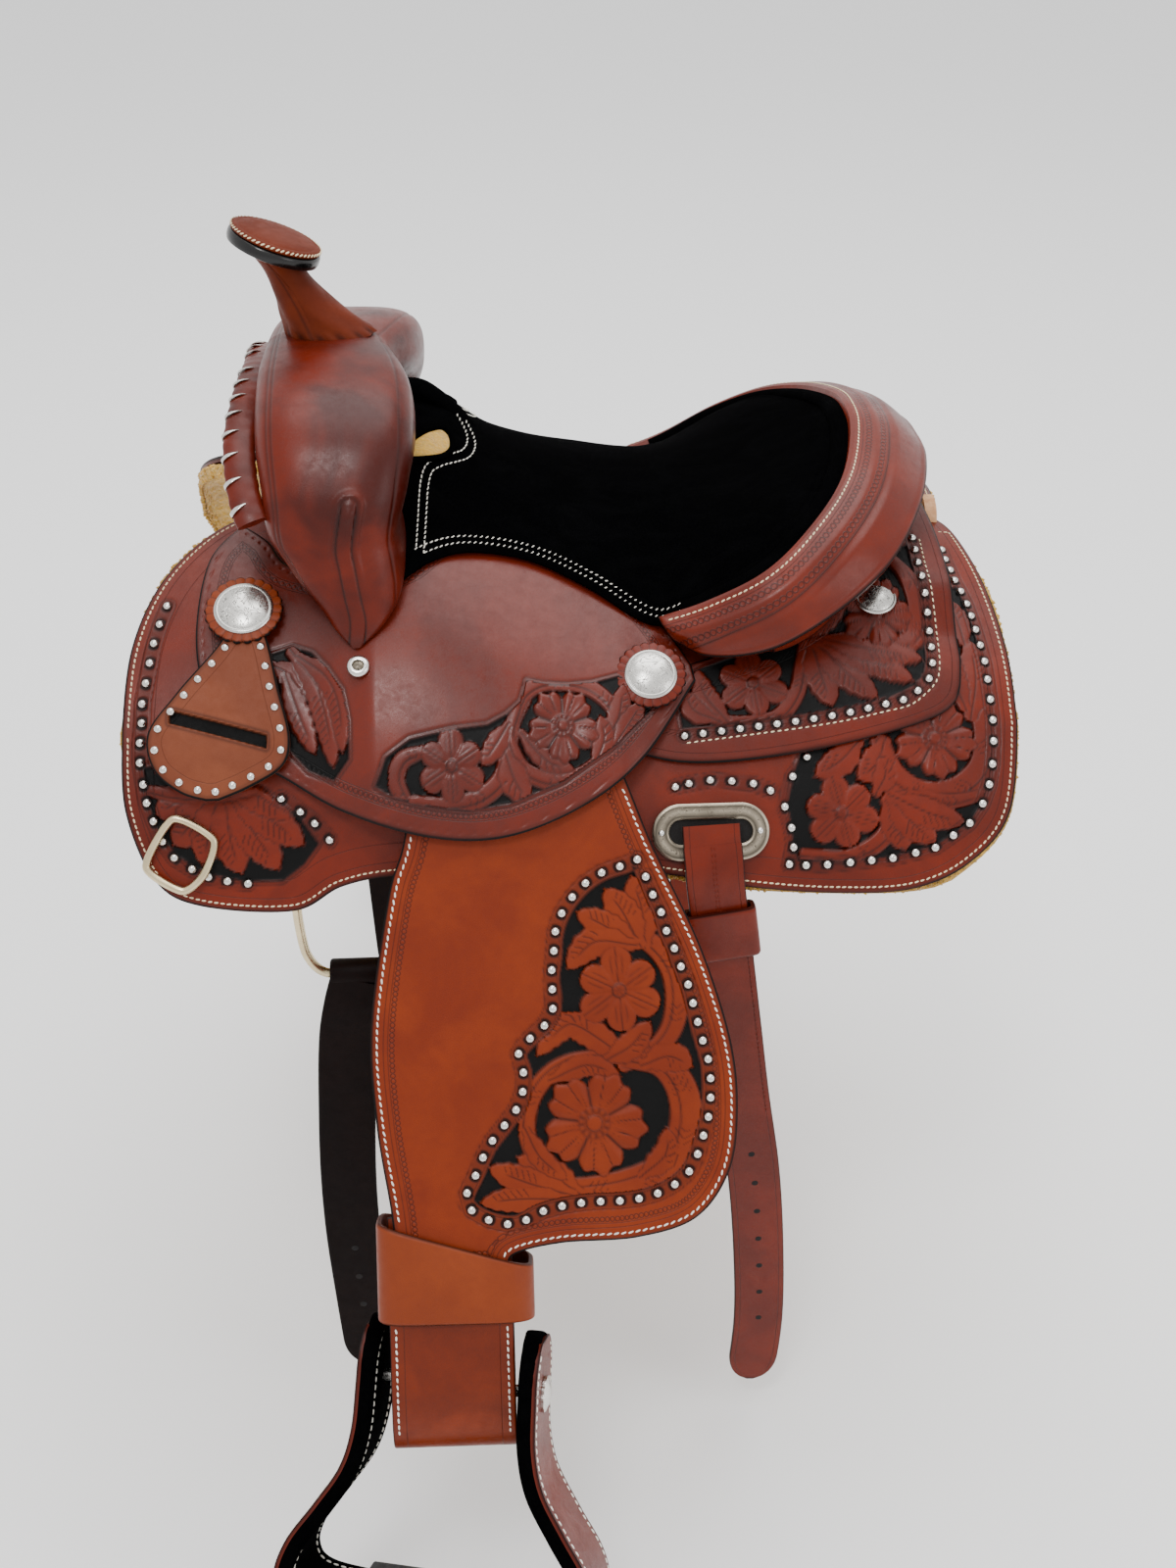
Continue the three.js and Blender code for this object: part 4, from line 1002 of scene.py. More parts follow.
v, f = slab(side(x, a, -13.4 + round_off + lump), side(sparse(x), sparse(a), -1.7 - 0.6 * sparse(round_off)))
both("fleece_lining", v, f, m_fleece, "saddle", stands_for=["fleece"], slot="fleece")
ring = np.vstack([p.pts, q.pts[::-1]])
CURLS = 5200
t = rng.uniform(0, 1, CURLS)
base = Curve(ring[::3], per=2).at(t)
depth = rng.uniform(-12.4, -3.5, CURLS)
root = side(base[:, 0] * 0.992, base[:, 1] * 0.992, depth)
tip = side(base[:, 0], base[:, 1], depth)
n = unit(tip - root) + rng.normal(0, 0.35, (CURLS, 3))
tuft = lathe([(0.01, -1.0), (1.5, -0.6), (1.7, 0.6), (1.2, 1.9), (0.4, 2.8), (0.01, 3.1)], 6)
v, f = placed(tuft, root, n, rng.normal(0, 1, (CURLS, 3)), rng.uniform(0.6, 1.15, CURLS))
both("fleece_curls", v, f, m_fleece, "saddle", slot="fleece")

# ---- seat jockeys ----
JOCKEY_TOP = [[-224, 76], [-205, 92], [-190, 112], [-150, 122], [-116, 116], [-98, 98], [-78, 82], [-30, 80],
              [10, 100], [46, 130], [72, 172]]
JOCKEY_BOTTOM = [[-225, 78], [-243, 104], [-249, 152], [-244, 190], [-229, 225], [-192, 246], [-154, 266],
                 [-99, 281], [-50, 281], [1, 262], [39, 233], [74, 183]]
BAND = [[-133, 252], [-126, 236], [-111, 226], [-84, 220], [-62, 217], [-49, 210], [-40, 202], [-36, 189],
        [-26, 191], [-10, 191], [6, 189], [23, 184], [40, 194], [43, 205], [20, 227], [-15, 249], [-49, 262],
        [-76, 266], [-109, 262], [-126, 256]]
FRONT_BAND = [[-200, 172], [-186, 168], [-174, 172], [-164, 182], [-154, 196], [-150, 214], [-150, 236],
              [-160, 248], [-176, 242], [-190, 228], [-198, 205]]
jockey_top_face = outer(jockey_face)


def jockey_relief(x, a, edge):
    c = Carving(x, a, BAND)
    c.scrolls(([[-112, 264], [-120, 250], [-116, 238], [-104, 233]], 5.0),
              ([[-108, 261], [-88, 263], [-68, 259], [-54, 248], [-49, 232], [-46, 216], [-38, 202]], 5.2),
              ([[-44, 212], [-38, 198], [-24, 190], [-4, 190], [10, 196], [20, 208], [22, 222]], 5.0),
              ([[-47, 228], [-40, 242], [-24, 249], [-6, 247], [8, 238], [18, 226]], 5.0))
    c.leaves(([[-50, 236], [-45, 250], [-37, 261]], 7.5), ([[-50, 218], [-58, 230], [-66, 240]], 5.5),
             ([[14, 224], [22, 210], [26, 190]], 6.0), ([[20, 226], [30, 212], [38, 200]], 5.5),
             ([[-40, 222], [-24, 238], [-8, 242]], 5.0), ([[6, 238], [12, 224], [10, 210]], 5.5))
    c.lily(-85, 241, 22, 0.5)
    c.ruffle(-14, 216, 24, 0.3)
    d = Carving(x, a, FRONT_BAND)
    d.leaves(([[-198, 180], [-188, 186], [-180, 202]], 6.0),
             ([[-186, 172], [-172, 190], [-164, 214], [-160, 240]], 7.0),
             ([[-180, 176], [-164, 188], [-156, 206], [-154, 232]], 6.0),
             ([[-190, 188], [-182, 210], [-172, 232]], 6.0))
    height, dye, cut = c.with_field(d)
    scallop = 0.5 * bell(np.abs(np.sin((x + a) * 0.35)) * 2, 1) * bell(edge - 4.5, 1.0)
    return height - scallop, dye, cut


v, f, at = panel(JOCKEY_TOP, JOCKEY_BOTTOM, jockey_top_face, lambda x, a: side(x, a, jockey_face(x, a) - 4.5),
                 1.0, jockey_relief, 190)
both("seat_jockey_leather", v, f, m_jockey, "saddle", at, ["seat_jockey"], slot="russet_leather")

# ---- rear jockeys ----
REAR_TOP = [[30, 178], [64, 171], [100, 159], [130, 147], [164, 123], [191, 86], [207, 42], [209, 12],
            [251, 14]]
REAR_BOTTOM = [[22, 226], [60, 236], [104, 236], [162, 228], [221, 213], [246, 197], [253, 168]]
rear_top_face = outer(rear_face)
REAR_BAND = [[60, 184], [64, 214], [92, 212], [119, 209], [146, 206], [173, 202], [196, 197], [210, 193],
             [219, 187], [226, 179], [229, 168], [230, 145], [229, 121], [228, 99], [228, 76], [216, 60],
             [208, 50], [200, 80], [180, 112], [150, 140], [110, 160], [80, 172]]
R_STUDS = [(65, 219), (92, 216), (119, 213), (146, 210), (173, 206), (196, 201), (212, 197), (222, 190),
           (230, 181), (233, 169), (234, 145), (233, 121), (232, 99), (233, 73)]


REAR_STUDS = row(R_STUDS, 12.2)


def rear_relief(x, a, edge):
    c = Carving(x, a, REAR_BAND)
    c.scrolls(([[84, 208], [104, 211], [126, 208], [140, 192], [146, 170], [150, 150]], 5.0),
              ([[158, 156], [184, 154], [206, 160], [224, 150], [228, 130], [222, 110], [214, 96]], 7.0))
    c.leaves(([[154, 160], [158, 182], [163, 201]], 8.5), ([[158, 158], [176, 180], [193, 196]], 8.5),
             ([[162, 156], [192, 170], [218, 184]], 8.5), ([[166, 154], [196, 162], [226, 168]], 8),
             ([[92, 208], [80, 192], [76, 174]], 6.5), ([[84, 208], [72, 202], [66, 188]], 6.0),
             ([[216, 84], [222, 70], [214, 56]], 6), ([[146, 150], [166, 136], [180, 120]], 7))
    c.lily(112, 184, 24, 0.4)
    c.ruffle(199, 136, 25, 0.1)
    c.studs(REAR_STUDS, 2.85)
    return c.h, c.dye, c.cut


v, f, at = panel(REAR_TOP, REAR_BOTTOM, rear_top_face, lambda x, a: side(x, a, rear_face(x, a) - 3.5),
                 1.1, rear_relief, 90)
both("rear_jockey_leather", v, f, m_rear, "saddle", at, ["rear_jockey"], slot="russet_leather")
studs_on("rear_jockey_studs", REAR_STUDS, rear_top_face, "saddle", 0.93)
seam = Curve(inset(R_STUDS, 5.0, False)).pts
v, f = stitched(seam, rear_top_face, pitch=4.6, length=2.8, radius=0.5)
both("rear_jockey_stitching", v, f, m_thread, "saddle", slot="pale_lace")

# ---- fenders with their hangers: one leather; the flex line's points are given, but nothing bends it ----
FLEX_A, FLEX_B = hang(-40, 277, 5), hang(-40, 296, 5)
fender_bend = ("fender_top", "fender", FLEX_A, FLEX_B)
FENDER_THICK = 5
FRONT_EDGE = [[-92, 158], [-106, 220], [-117, 284], [-128, 320], [-141, 402], [-139, 464], [-131, 522],
              [-129, 560]]
REAR_EDGE = [[-18, 158], [14, 220], [39, 284], [46, 300], [71, 357], [88, 416], [91, 462], [84, 500],
             [62, 528], [24, 539], [-24, 541], [-55, 548], [-56, 560]]


def fender_n(a):
    return lerp(10.5 - LIFT, 0, ease(a, 170, 225))


def fender_front(x, a, h):
    return hang(x, a, fender_n(a) + FENDER_THICK + h)


FIELD = [[31, 298], [24, 301], [10, 305], [-2, 312], [-12, 322], [-19, 333], [-23, 345], [-24, 359],
         [-26, 372], [-25, 387], [-28, 399], [-40, 410], [-48, 420], [-45, 434], [-48, 451], [-58, 465],
         [-69, 479], [-77, 496], [-84, 513], [-72, 524], [-53, 528], [-38, 521], [-22, 517], [-4, 515],
         [13, 515], [31, 513], [47, 507], [60, 496], [67, 479], [72, 463], [74, 445], [73, 428], [69, 412],
         [65, 395], [62, 381], [57, 367], [53, 355], [48, 343], [45, 331], [40, 320], [36, 309]]
FIELD_STUDS = row(FIELD, 12.4, per=6, closed=True)
field_line = Curve(FIELD, closed=True, per=6).pts


def fender_relief(x, a, edge):
    c = Carving(x, a, inward(field_line[:-1], 5.5, field_line))
    c.scrolls(([[25, 424], [-4, 424], [-24, 430], [-38, 444], [-44, 462], [-42, 480], [-34, 496],
                [-18, 508]], 5.2),
              ([[16, 344], [36, 350], [50, 366], [54, 386], [50, 406], [38, 420], [20, 428]], 6.6),
              ([[22, 424], [42, 428], [54, 442], [58, 462], [53, 482], [40, 497], [18, 505], [-8, 508],
                [-28, 506]], 9.5))
    c.leaves(([[34, 350], [33, 330], [27, 309]], 8.5), ([[30, 350], [20, 330], [10, 317]], 8.5),
             ([[26, 350], [6, 338], [-8, 331]], 7.5), ([[24, 352], [2, 350], [-15, 366]], 8.0),
             ([[20, 424], [-8, 404], [-20, 404], [-36, 421]], 7.5), ([[34, 428], [48, 424], [62, 431]], 8.0),
             ([[10, 424], [24, 416], [36, 402]], 7.0), ([[-26, 436], [-4, 428], [16, 436]], 6.0),
             ([[-14, 508], [-34, 494], [-50, 486]], 8.0), ([[-18, 510], [-44, 502], [-68, 492]], 8.0),
             ([[-22, 513], [-48, 512], [-74, 514]], 7.0), ([[30, 498], [44, 486], [45, 470]], 6.5),
             ([[-44, 470], [-36, 486], [-20, 500]], 5.5))
    c.lily(17, 381, 28, 0.45)
    c.ruffle(-1, 465, 35, 0.15)
    c.studs(FIELD_STUDS)
    rim, along = edge_distance(field_line, x, a)
    scallop = 0.5 + 0.5 * np.cos(2 * PI * along / 6.2)
    stamp = bell(rim - 5.0, 1.0) * scallop * ~inside(field_line, x, a)
    return c.h - 0.4 * stamp, c.dye, np.maximum(c.cut, 0.55 * stamp)


v, f, at = panel(FRONT_EDGE, REAR_EDGE, fender_front, lambda x, a: hang(x, a, fender_n(a)), 1.0,
                 fender_relief, 215)
both("fender_leather", v, f, m_fender, "fender", at, ["fender_hanger", "fender"], blend=fender_bend,
     slot="tan_leather")
studs_on("fender_studs", FIELD_STUDS, fender_front, "fender", 0.95)
front, rear = polyline(FRONT_EDGE, 20), polyline(REAR_EDGE, 20)
outline = np.vstack([front, rear[::-1]])
for tag, line, end in (("front", front, 528), ("rear", rear, 556)):
    seam = inward(line, 4.2, outline, False)
    seam = seam[(seam[:, 1] > 250) & (seam[:, 1] < end)]
    v, f = stitched(seam, fender_front, pitch=4.6, length=3.5, radius=0.56, slant=0.25)
    both(f"fender_stitching_{tag}", v, f, m_white, "fender", blend=fender_bend, slot="pale_lace")

# ---- stirrup leather neck, loop and hobble strap ----
NECK_X, NECK_WIDTH, NECK_THICK = -95, 78.6, 4.0


def neck(route, steps):
    """The wide strap that goes down from the fender, round the stirrup's bolt and up behind."""
    path = Curve(route, per=24)
    u = np.linspace(0, 1, steps)
    sec = lozenge(NECK_WIDTH / 2, NECK_THICK, 1.3, 30)
    rings = np.array([hang(NECK_X + sec[:, 0], p[0] - d[1] * sec[:, 1], p[1] + d[0] * sec[:, 1])
                      for p, d in zip(path.at(u), path.tangent(u))])
    edge = NECK_WIDTH / 2 - np.abs(np.broadcast_to(sec[:, 0], rings.shape[:2]))
    along = np.broadcast_to((u * path.length)[:, None], edge.shape)
    return *capped(rings), {**edged(edge, 0.2, 1.0), "along": along.ravel()}


LOOP = [[560, 2.4], [592, 2.4], [612, 2.5], [636, 2.6], [659, -1.5], [671, -10], [671, -19], [659, -27],
        [636, -30.6], [594, -30.4], [572, -17], [548, -5], [524, -3]]
v, f, at = neck(LOOP, 120)
bend = ("fender", "stirrup_neck", hang(NECK_X, 578, -14), hang(NECK_X, 606, -14))
both("stirrup_strap_leather", v, f, m_neck, "fender", at, ["stirrup_leather", "stirrup_loop"], blend=bend,
     slot="russet_leather")
rows = []
for s in (-1, 1):
    a = np.linspace(592, 663, 60)
    n_off = np.interp(a, [592, 636, 651, 659, 664], [2.45, 2.6, 0.9, -1.5, -4.2])
    p = hang(NECK_X + s * 35.2, a, n_off + 2.05)
    rows.append(stitches(p, np.tile(PLUMB_OUT, (60, 1)), pitch=4.4, length=3.2, radius=0.62))
v, f = joined(*rows)
both("stirrup_leather_stitching", v, f, m_white, "fender", blend=bend, slot="pale_lace")


def rounded(t, power):
    """Squares off a cosine or a sine, for box-like rings."""
    return np.sign(t) * np.abs(t) ** power


def lip(t, size, reach):
    """How far a band's edge is rounded in at t, from 0 to 1 across the band."""
    return size * (1 - np.sin(np.clip(np.minimum(t, 1 - t) / reach, 0, 1) * PI / 2))


def hobble():
    """The band round the stirrup neck: an outer skin from edge to edge, then an inner one back."""
    steps, k = 72, 60
    turn = np.linspace(0, 2 * PI, k, endpoint=False)
    c, s = np.cos(turn), np.sin(turn)
    verts, edge = [], []
    z = np.linspace(0, 1, steps)
    for outer_skin, span in ((True, z), (False, z[::-1])):
        for t in span:
            eased = lip(t, 1.4, 0.035)
            half, deep = (47 - eased, 23.3 - eased) if outer_skin else (44, 20.2)
            x = half * rounded(c, 0.36) + 3 * np.sign(c) * c ** 6
            y = -13.7 + deep * rounded(s, 0.36)
            if outer_skin:
                y = y + 1.3 * np.sin(PI * t) * s * (1 + 0.3 * c)
            a = lerp(lerp(526, 556, np.clip((x + 47) / 102 + 0.04, 0, 1)), 590, t)
            verts.append(hang(NECK_X + 3 + x, a, y))
            edge.append(np.full(k, min(t, 1 - t) * 50 if outer_skin else 0.6))
    verts = np.array(verts).reshape(-1, 3)
    return verts, outward(verts, [grid(2 * steps, k, wrap_u=True, wrap_v=True)]), np.array(edge)


v, f, edge = hobble()
both("hobble_strap_leather", v, f, m_tan, "fender", edged(edge, 0.4, 1.1, 0.8), ["hobble_strap"],
     slot="tan_leather")

# ---- stirrups, in their own frame ----
S_AT = hang(NECK_X, 634, -14)
lean, yaw = math.radians(-5), math.radians(12)
S_DOWN = PLUMB_DOWN * math.cos(lean) + np.cross(PLUMB_OUT, PLUMB_DOWN) * math.sin(lean)
S_ACROSS = unit(np.cross(S_DOWN, PLUMB_OUT))
S_ACROSS = S_ACROSS * math.cos(yaw) + np.cross(S_DOWN, S_ACROSS) * math.sin(yaw)
S_TOE = unit(np.cross(S_ACROSS, S_DOWN))


def in_stirrup(s, d, m):
    """The point s across, d below the bolt and m towards the toe."""
    s, d, m = np.broadcast_arrays(np.asarray(s, float), np.asarray(d, float), np.asarray(m, float))
    return S_AT + s[..., None] * S_ACROSS + d[..., None] * S_DOWN + m[..., None] * S_TOE


HALF_BOW = [[-51, -38], [-51.5, 0], [-53, 30], [-60, 56], [-76, 82], [-92, 106], [-97, 126], [-88, 140],
            [-58, 145]]
BOW = Curve(HALF_BOW + [[0, 146]] + [[-s, d] for s, d in HALF_BOW[::-1]], per=30)


def bow_depth(d):
    """Half of the stirrup's depth from toe to heel, d below its bolt."""
    near_top = np.minimum(np.maximum(0, 1 - (d + 38) / 28), 0.985)
    return lerp(28, 33, ease(d, 90, 140)) * np.sqrt(1 - near_top ** 2)


def on_bow(p, t, off, m):
    """Points that lie off to one side of the bow at p, whose tangent is t."""
    return in_stirrup(p[..., 0] + off * t[..., 1], p[..., 1] - off * t[..., 0], m)


def stirrup():
    u = np.linspace(0, 1, 220)
    p, t = BOW.at(u)[:, None], BOW.tangent(u)[:, None]
    depth = bow_depth(p[..., 1])
    turn = np.linspace(0, 2 * PI, 56, endpoint=False)
    m = depth * rounded(np.cos(turn), 0.4)
    rim = depth - np.abs(m)
    roll = 1.6 * bell(rim - 3.5, 3.0) - 0.8 * bell(rim - 8.5, 1.3)
    off = rounded(np.sin(turn), 0.55) * (4.6 + roll)
    return *capped(on_bow(p, t, off, m)), np.minimum(rim, 30)


v, f, edge = stirrup()
both("stirrup_suede", v, f, m_suede, "stirrup", {"edge": edge.ravel()}, ["stirrup"], slot="black_suede")


def stirrup_skin(lo, hi, low, high, clear):
    """A leather layer over part of the bow's outer face, clear of its rims."""
    u, v = np.meshgrid(np.linspace(lo, hi, 121), np.linspace(-1, 1, 25), indexing="ij")
    p, t = BOW.at(u), BOW.tangent(u)
    depth = bow_depth(p[..., 1]) - clear
    top, under = on_bow(p, t, high, v * depth), on_bow(p, t, low, v * depth)
    edge = np.minimum(depth * (1 - np.abs(v)), np.minimum(u - lo, hi - u) * BOW.length)
    verts, faces = slab(top, sparse(under))
    return verts, faces, {**edged(edge, 0.5, 1.4), "along": u * BOW.length}


for tag, lo, hi in (("rear", 0.006, 0.42), ("front", 0.58, 0.994)):
    p, t = BOW.at((lo + hi) / 2), BOW.tangent((lo + hi) / 2)
    hand = 1 if np.array([t[1], -t[0]]) @ (p - np.array([0, 60])) > 0 else -1
    v, f, at = stirrup_skin(lo, hi, hand * 4.2, hand * 7.0, 2.0)
    both(f"stirrup_outer_{tag}", v, f, m_strap, "stirrup", at, slot="russet_leather")
    rows = []
    u = np.linspace(lo + 0.01, hi - 0.005, 160)
    p, t = BOW.at(u), BOW.tangent(u)
    for s in (-1, 1):
        for off, gap in ((hand * 7.0, 6.0), (-hand * 4.3, 8.5)):
            line = on_bow(p, t, off, s * np.maximum(bow_depth(p[:, 1]) - gap, 3))
            n = on_bow(0 * p, t, np.sign(off), 0) - S_AT
            rows.append(stitches(line, n, pitch=5.2, length=3.7, radius=0.7))
    v, f = joined(*rows)
    both(f"stirrup_stitching_{tag}", v, f, m_white, "stirrup", slot="pale_lace")


# ---- stirrup bolt and tread ----
def along_s(outline, sides, ripple=None):
    """A lathe whose axis goes across the stirrup."""
    v, f = lathe(outline, sides, ripple)
    return v[:, [2, 0, 1]], f


def bolt_rosette(r, turn):
    return 1 + 0.05 * np.cos(12 * turn) * (r > 9.5)


shank = along_s([(0.01, -60.5), (4, -60.5), (4, 60.5), (0.01, 60.5)], 20)
head = along_s([(0.01, -63.4), (3, -63.2), (6, -62.6), (9, -61.4), (11, -60.6), (11, -58.6), (0.01, -58.6)],
               72, bolt_rosette)
nut = along_s([(0.01, 58.2), (7.6, 58.2), (8, 58.6), (8, 62.4), (7.4, 63), (0.01, 63)], 6)
v, f = joined(shank, head, nut)
v = in_stirrup(*v.T)
both("stirrup_bolt_nickel", v, outward(v, f), m_nickel, "stirrup", stands_for=["stirrup_bolt"], slot="nickel")
TREAD_HALF, TREAD_DEEP, TREAD_TOP, TREAD_UNDER = 55, 31, 134.9, 138.9
s, m = np.meshgrid(np.linspace(-1, 1, 89) * TREAD_HALF, np.linspace(-1, 1, 49) * TREAD_DEEP, indexing="ij")
rim = np.minimum(TREAD_HALF - np.abs(s), TREAD_DEEP - np.abs(m))
rib = 0.8 * ease(np.abs(np.mod(s / 7.0, 1) - 0.5), 0.12, 0.3) * ease(rim, 2.5, 4)
top = in_stirrup(s, TREAD_TOP - rib + 1.2 * (1 - ease(rim, 0, 2)) ** 2, m)
v, f = slab(top, in_stirrup(sparse(s), TREAD_UNDER, sparse(m)))
both("tread_pad_rubber", v, f, m_rubber, "stirrup", stands_for=["tread_pad"], slot="black_rubber")

# ---- seat ----
PAD_EDGE = Curve([[-116, 134], [-97, 118], [-71, 107], [-32, 106], [6, 122], [49, 146], [85, 139],
                  [119, 129], [150, 106], [172, 72], [184, 31]])


def pad_xa(u, s):
    p = PAD_EDGE.at(u)
    return p[..., 0] + 0 * s, p[..., 1] * s


front_line = np.stack(pad_xa(np.zeros(81), np.linspace(-1, 1, 81)), -1)


def pad_height(x, a):
    """How far the pad is above the seat's face, with its sewn channels, and the gap to its edge."""
    low_edge, _ = edge_distance(PAD_EDGE.pts[::2], x, np.abs(a))
    front_gap, _ = edge_distance(front_line, x, a)
    rim = np.minimum(low_edge, front_gap)
    puff = 1.7 * ease(rim, 9, 30) - 1.3 * (1 - ease(rim, 0, 3)) ** 2
    wave = 0.35 * np.sin(x * 0.05 + 0.4) * np.cos(a * 0.06)
    groove = 0.7 * bell(low_edge - 6, 0.9) + 0.7 * bell(low_edge - 11, 0.9)
    return puff + wave - groove * (np.abs(a) > 60), rim


seat_top_face = outer(seat_face)
x, a = pad_xa(*uv_grid(201, 221, -1))
height, rim = pad_height(x, a)
thick = lerp(9, 3, ease(np.abs(a) / seat_reach(x), 0.5, 1))
v, f = slab(seat_top_face(x, a, height), sparse(seat_top_face(x, a, -thick)))
pad = mesh("seat_pad_suede", v, f, m_suede, "saddle", {"edge": rim.ravel()}, stands_for=["seat_pad"],
           slot="black_suede")
HAND_HOLE = [[-113, 49], [-105, 39], [-96, 31], [-88, 27], [-83, 30], [-82, 39], [-87, 46], [-98, 52],
             [-110, 55]]
HOLE_LINE = Curve([[-79, 2], [-73, 11], [-69.5, 20], [-69.5, 28], [-73, 37], [-80, 44], [-90, 51], [-97, 57],
                   [-100, 66], [-102, 90], [-103, 108], [-104, 122]], 0.5)
HOLE_POINTS = 60
RIM_SECTION = [(2.4, 0), (1.7, 1.7), (0, 2.4), (-1.7, 1.7), (-2.4, 0), (-1.7, -1.7), (0, -2.4), (1.7, -1.7)]


def hole_plug(loop):
    """The fleece in a hand hole: rings from the middle out and back under, with two end caps."""
    levels = [(k, 2.0 + 0.7 * (1 - k)) for k in (0.02, 0.3, 0.6, 0.85, 1.0)] + [(1.0, -2.0), (0.02, -2.0)]
    rings = [seat_top_face(*lerp(loop.mean(0), loop, k).T, height) for k, height in levels]
    k = np.arange(1, HOLE_POINTS - 1)
    cap = np.stack([0 * k, k, k + 1], -1)
    verts = np.array(rings).reshape(-1, 3)
    faces = [grid(len(rings), HOLE_POINTS, wrap_v=True), cap, cap[:, ::-1] + (len(rings) - 1) * HOLE_POINTS]
    return verts, outward(verts, faces)


threads, fleece_spots, rims = [], [], []
for hand in (1, -1):
    loop = Curve(HAND_HOLE, 0.5, True).at(np.linspace(0, 1, HOLE_POINTS, endpoint=False)) * (1, hand)
    fleece_spots.append(hole_plug(loop))
    rims.append(sweep(seat_top_face(*loop.T, 1.6), RIM_SECTION, up=(0, 0, 1), closed=True))
    for gap, shift in ((6, 2.6), (11, -2.6)):
        marks = np.linspace(0, 1, 160)
        path, bend = HOLE_LINE.at(marks), HOLE_LINE.tangent(marks)
        front = path + np.stack([bend[:, 1], -bend[:, 0]], -1) * shift
        line = inset(PAD_EDGE.pts, -gap, False)
        line = line[(line[:, 0] > front[-1, 0]) & (line[:, 0] < 66)]
        front = front[front[:, 1] < line[0, 1]]
        x, a = (np.vstack([front, line]) * (1, hand)).T
        p = seat_top_face(x, a, pad_height(x, a)[0] + 0.15)
        n = unit(np.cross(seat_top_face(x, a + 0.5, 0 * x) - p, seat_top_face(x + 0.5, a, 0 * x) - p))
        n *= np.where(n[:, 2] < 0, -1, 1)[:, None]
        threads.append(stitches(p, n, pitch=3.9, length=2.8, radius=0.5))
v, f = joined(*threads)
mesh("seat_stitching", v, f, m_white, "saddle", slot="pale_lace")
v, f = joined(*fleece_spots)
mesh("hand_hole_fleece", v, f, m_fleece, "saddle", slot="fleece")
BRIDGE = [[-124, 0, 99], [-112, 0, 102], [-103, 0, 101], [-92, 0, 94], [-80, 0, 84], [-68, 0, 72]]
marks = np.linspace(0, 1, 60)
bridge = sweep(Curve(BRIDGE, 0.5).at(marks), oval(12, 6, 28), up=(0, 0, 1), scale=1 - 0.5 * marks ** 3)
v, f = joined(bridge, *rims)
mesh("seat_bridge_suede", v, f, m_suede, "saddle", slot="black_suede")

# ---- swell, with its seam welts and front binding ----
OUTER = Curve([[176, -9], [171, 16], [162, 50], [150, 86], [118, 121], [66, 139], [0, 144]])
INNER = Curve([[84, 33], [81, 46], [76, 59], [67, 73], [50, 88], [26, 98], [0, 101]])
half_length = profile([[0, 8], [0.012, 14], [0.03, 20.5], [0.065, 27.5], [0.122, 34.5], [0.183, 39],
                       [0.24, 42.5], [0.36, 47], [0.5, 51], [0.75, 50], [1, 42]])
middle_x = profile([[0, -144], [0.065, -143], [0.122, -147], [0.183, -152], [0.24, -156.5], [0.35, -155],
                    [0.5, -155], [0.75, -158], [1, -165]])


def swell_point(s, c, d, grow):
    """The fork's cover at s, from -1 to 1 over the arch; (c, d) goes round its section."""
    u = 1 - np.abs(s)
    o, i = OUTER.at(u), INNER.at(u)
    mid = (o + i) / 2
    reach = o - mid
    size = np.linalg.norm(reach, axis=-1, keepdims=True)
    reach = reach * (size + grow) / size
    hand = np.where(s < 0, -1.0, 1.0)
    along = middle_x(u) + c * (half_length(u) + grow)
    return np.stack([along, -hand * (mid[..., 0] + d * reach[..., 0]), mid[..., 1] + d * reach[..., 1]], -1)


SWELL_ROWS, SWELL_AROUND, SQUARE = 361, 340, 0.62
fine = np.linspace(0, 2 * PI, 20001)
steps = np.hypot(np.diff(rounded(np.cos(fine), SQUARE)) * 50, np.diff(rounded(np.sin(fine), SQUARE)) * 30)
walk = np.concatenate([[0], np.cumsum(steps)])
even = np.interp(np.linspace(0, walk[-1], SWELL_AROUND, endpoint=False), walk, fine)
s, turn = np.meshgrid(np.linspace(-1, 1, SWELL_ROWS), even, indexing="ij")
c, d = rounded(np.cos(turn), SQUARE), rounded(np.sin(turn), SQUARE)
u = 1 - np.abs(s)
outside = d > 0
seam = profile([[0, 0], [0.1, 0.05], [0.25, 0.19], [0.4, 0.27]])(u)
SEAM_TOP = 0.335
across = (c - seam) * half_length(u)
above = (u - SEAM_TOP) * OUTER.length
ring = np.where(above > 0, np.hypot(across, above), np.abs(across))
welt = outside * (1.6 * bell(ring - 7.6, 1.9) * ease(u, 0.1, 0.27) + 1.3 * (1 - ease(ring, 3.2, 5.0)))
welt = welt * ease(u, 0.0, 0.04)
bead = 1.5 * bell(np.hypot(across * 1.7, above + 5), 5.0) * outside
line_f = bell(c + 0.80, 0.02) + bell(c + 0.74, 0.02)
line_b = bell(c - 0.84, 0.02)
cut = outside * (0.6 * line_f + 0.5 * line_b + 0.95 * bell(ring - 4.9, 0.65) * (1 - 0.7 * ease(u, 0.3, 0.36))
                 + 0.35 * bell(ring - 6.2, 1.2) * ease(u, 0.1, 0.27) + 0.4 * (1 - ease(u, 0, 0.05)))
v = swell_point(s, c, d, 0.0)
n = unit(swell_point(s, c, d, 1.0) - v)
dent = 0.5 * np.sin(s * 9 + c * 2) * np.cos(c * 3)
v, f = capped(v + n * (welt + bead + dent - 0.5 * outside * (line_f + line_b))[..., None])
mesh("swell_cover_leather", v, f, m_swell, "saddle", {"cut": cut.ravel()}, stands_for=["swell_cover"],
     slot="russet_leather")


def arch(half, top):
    """A curve over the middle plane, from its near half and its top point."""
    return Curve(half + [top] + [[x, -y, z] for x, y, z in half[::-1]], 0.5)


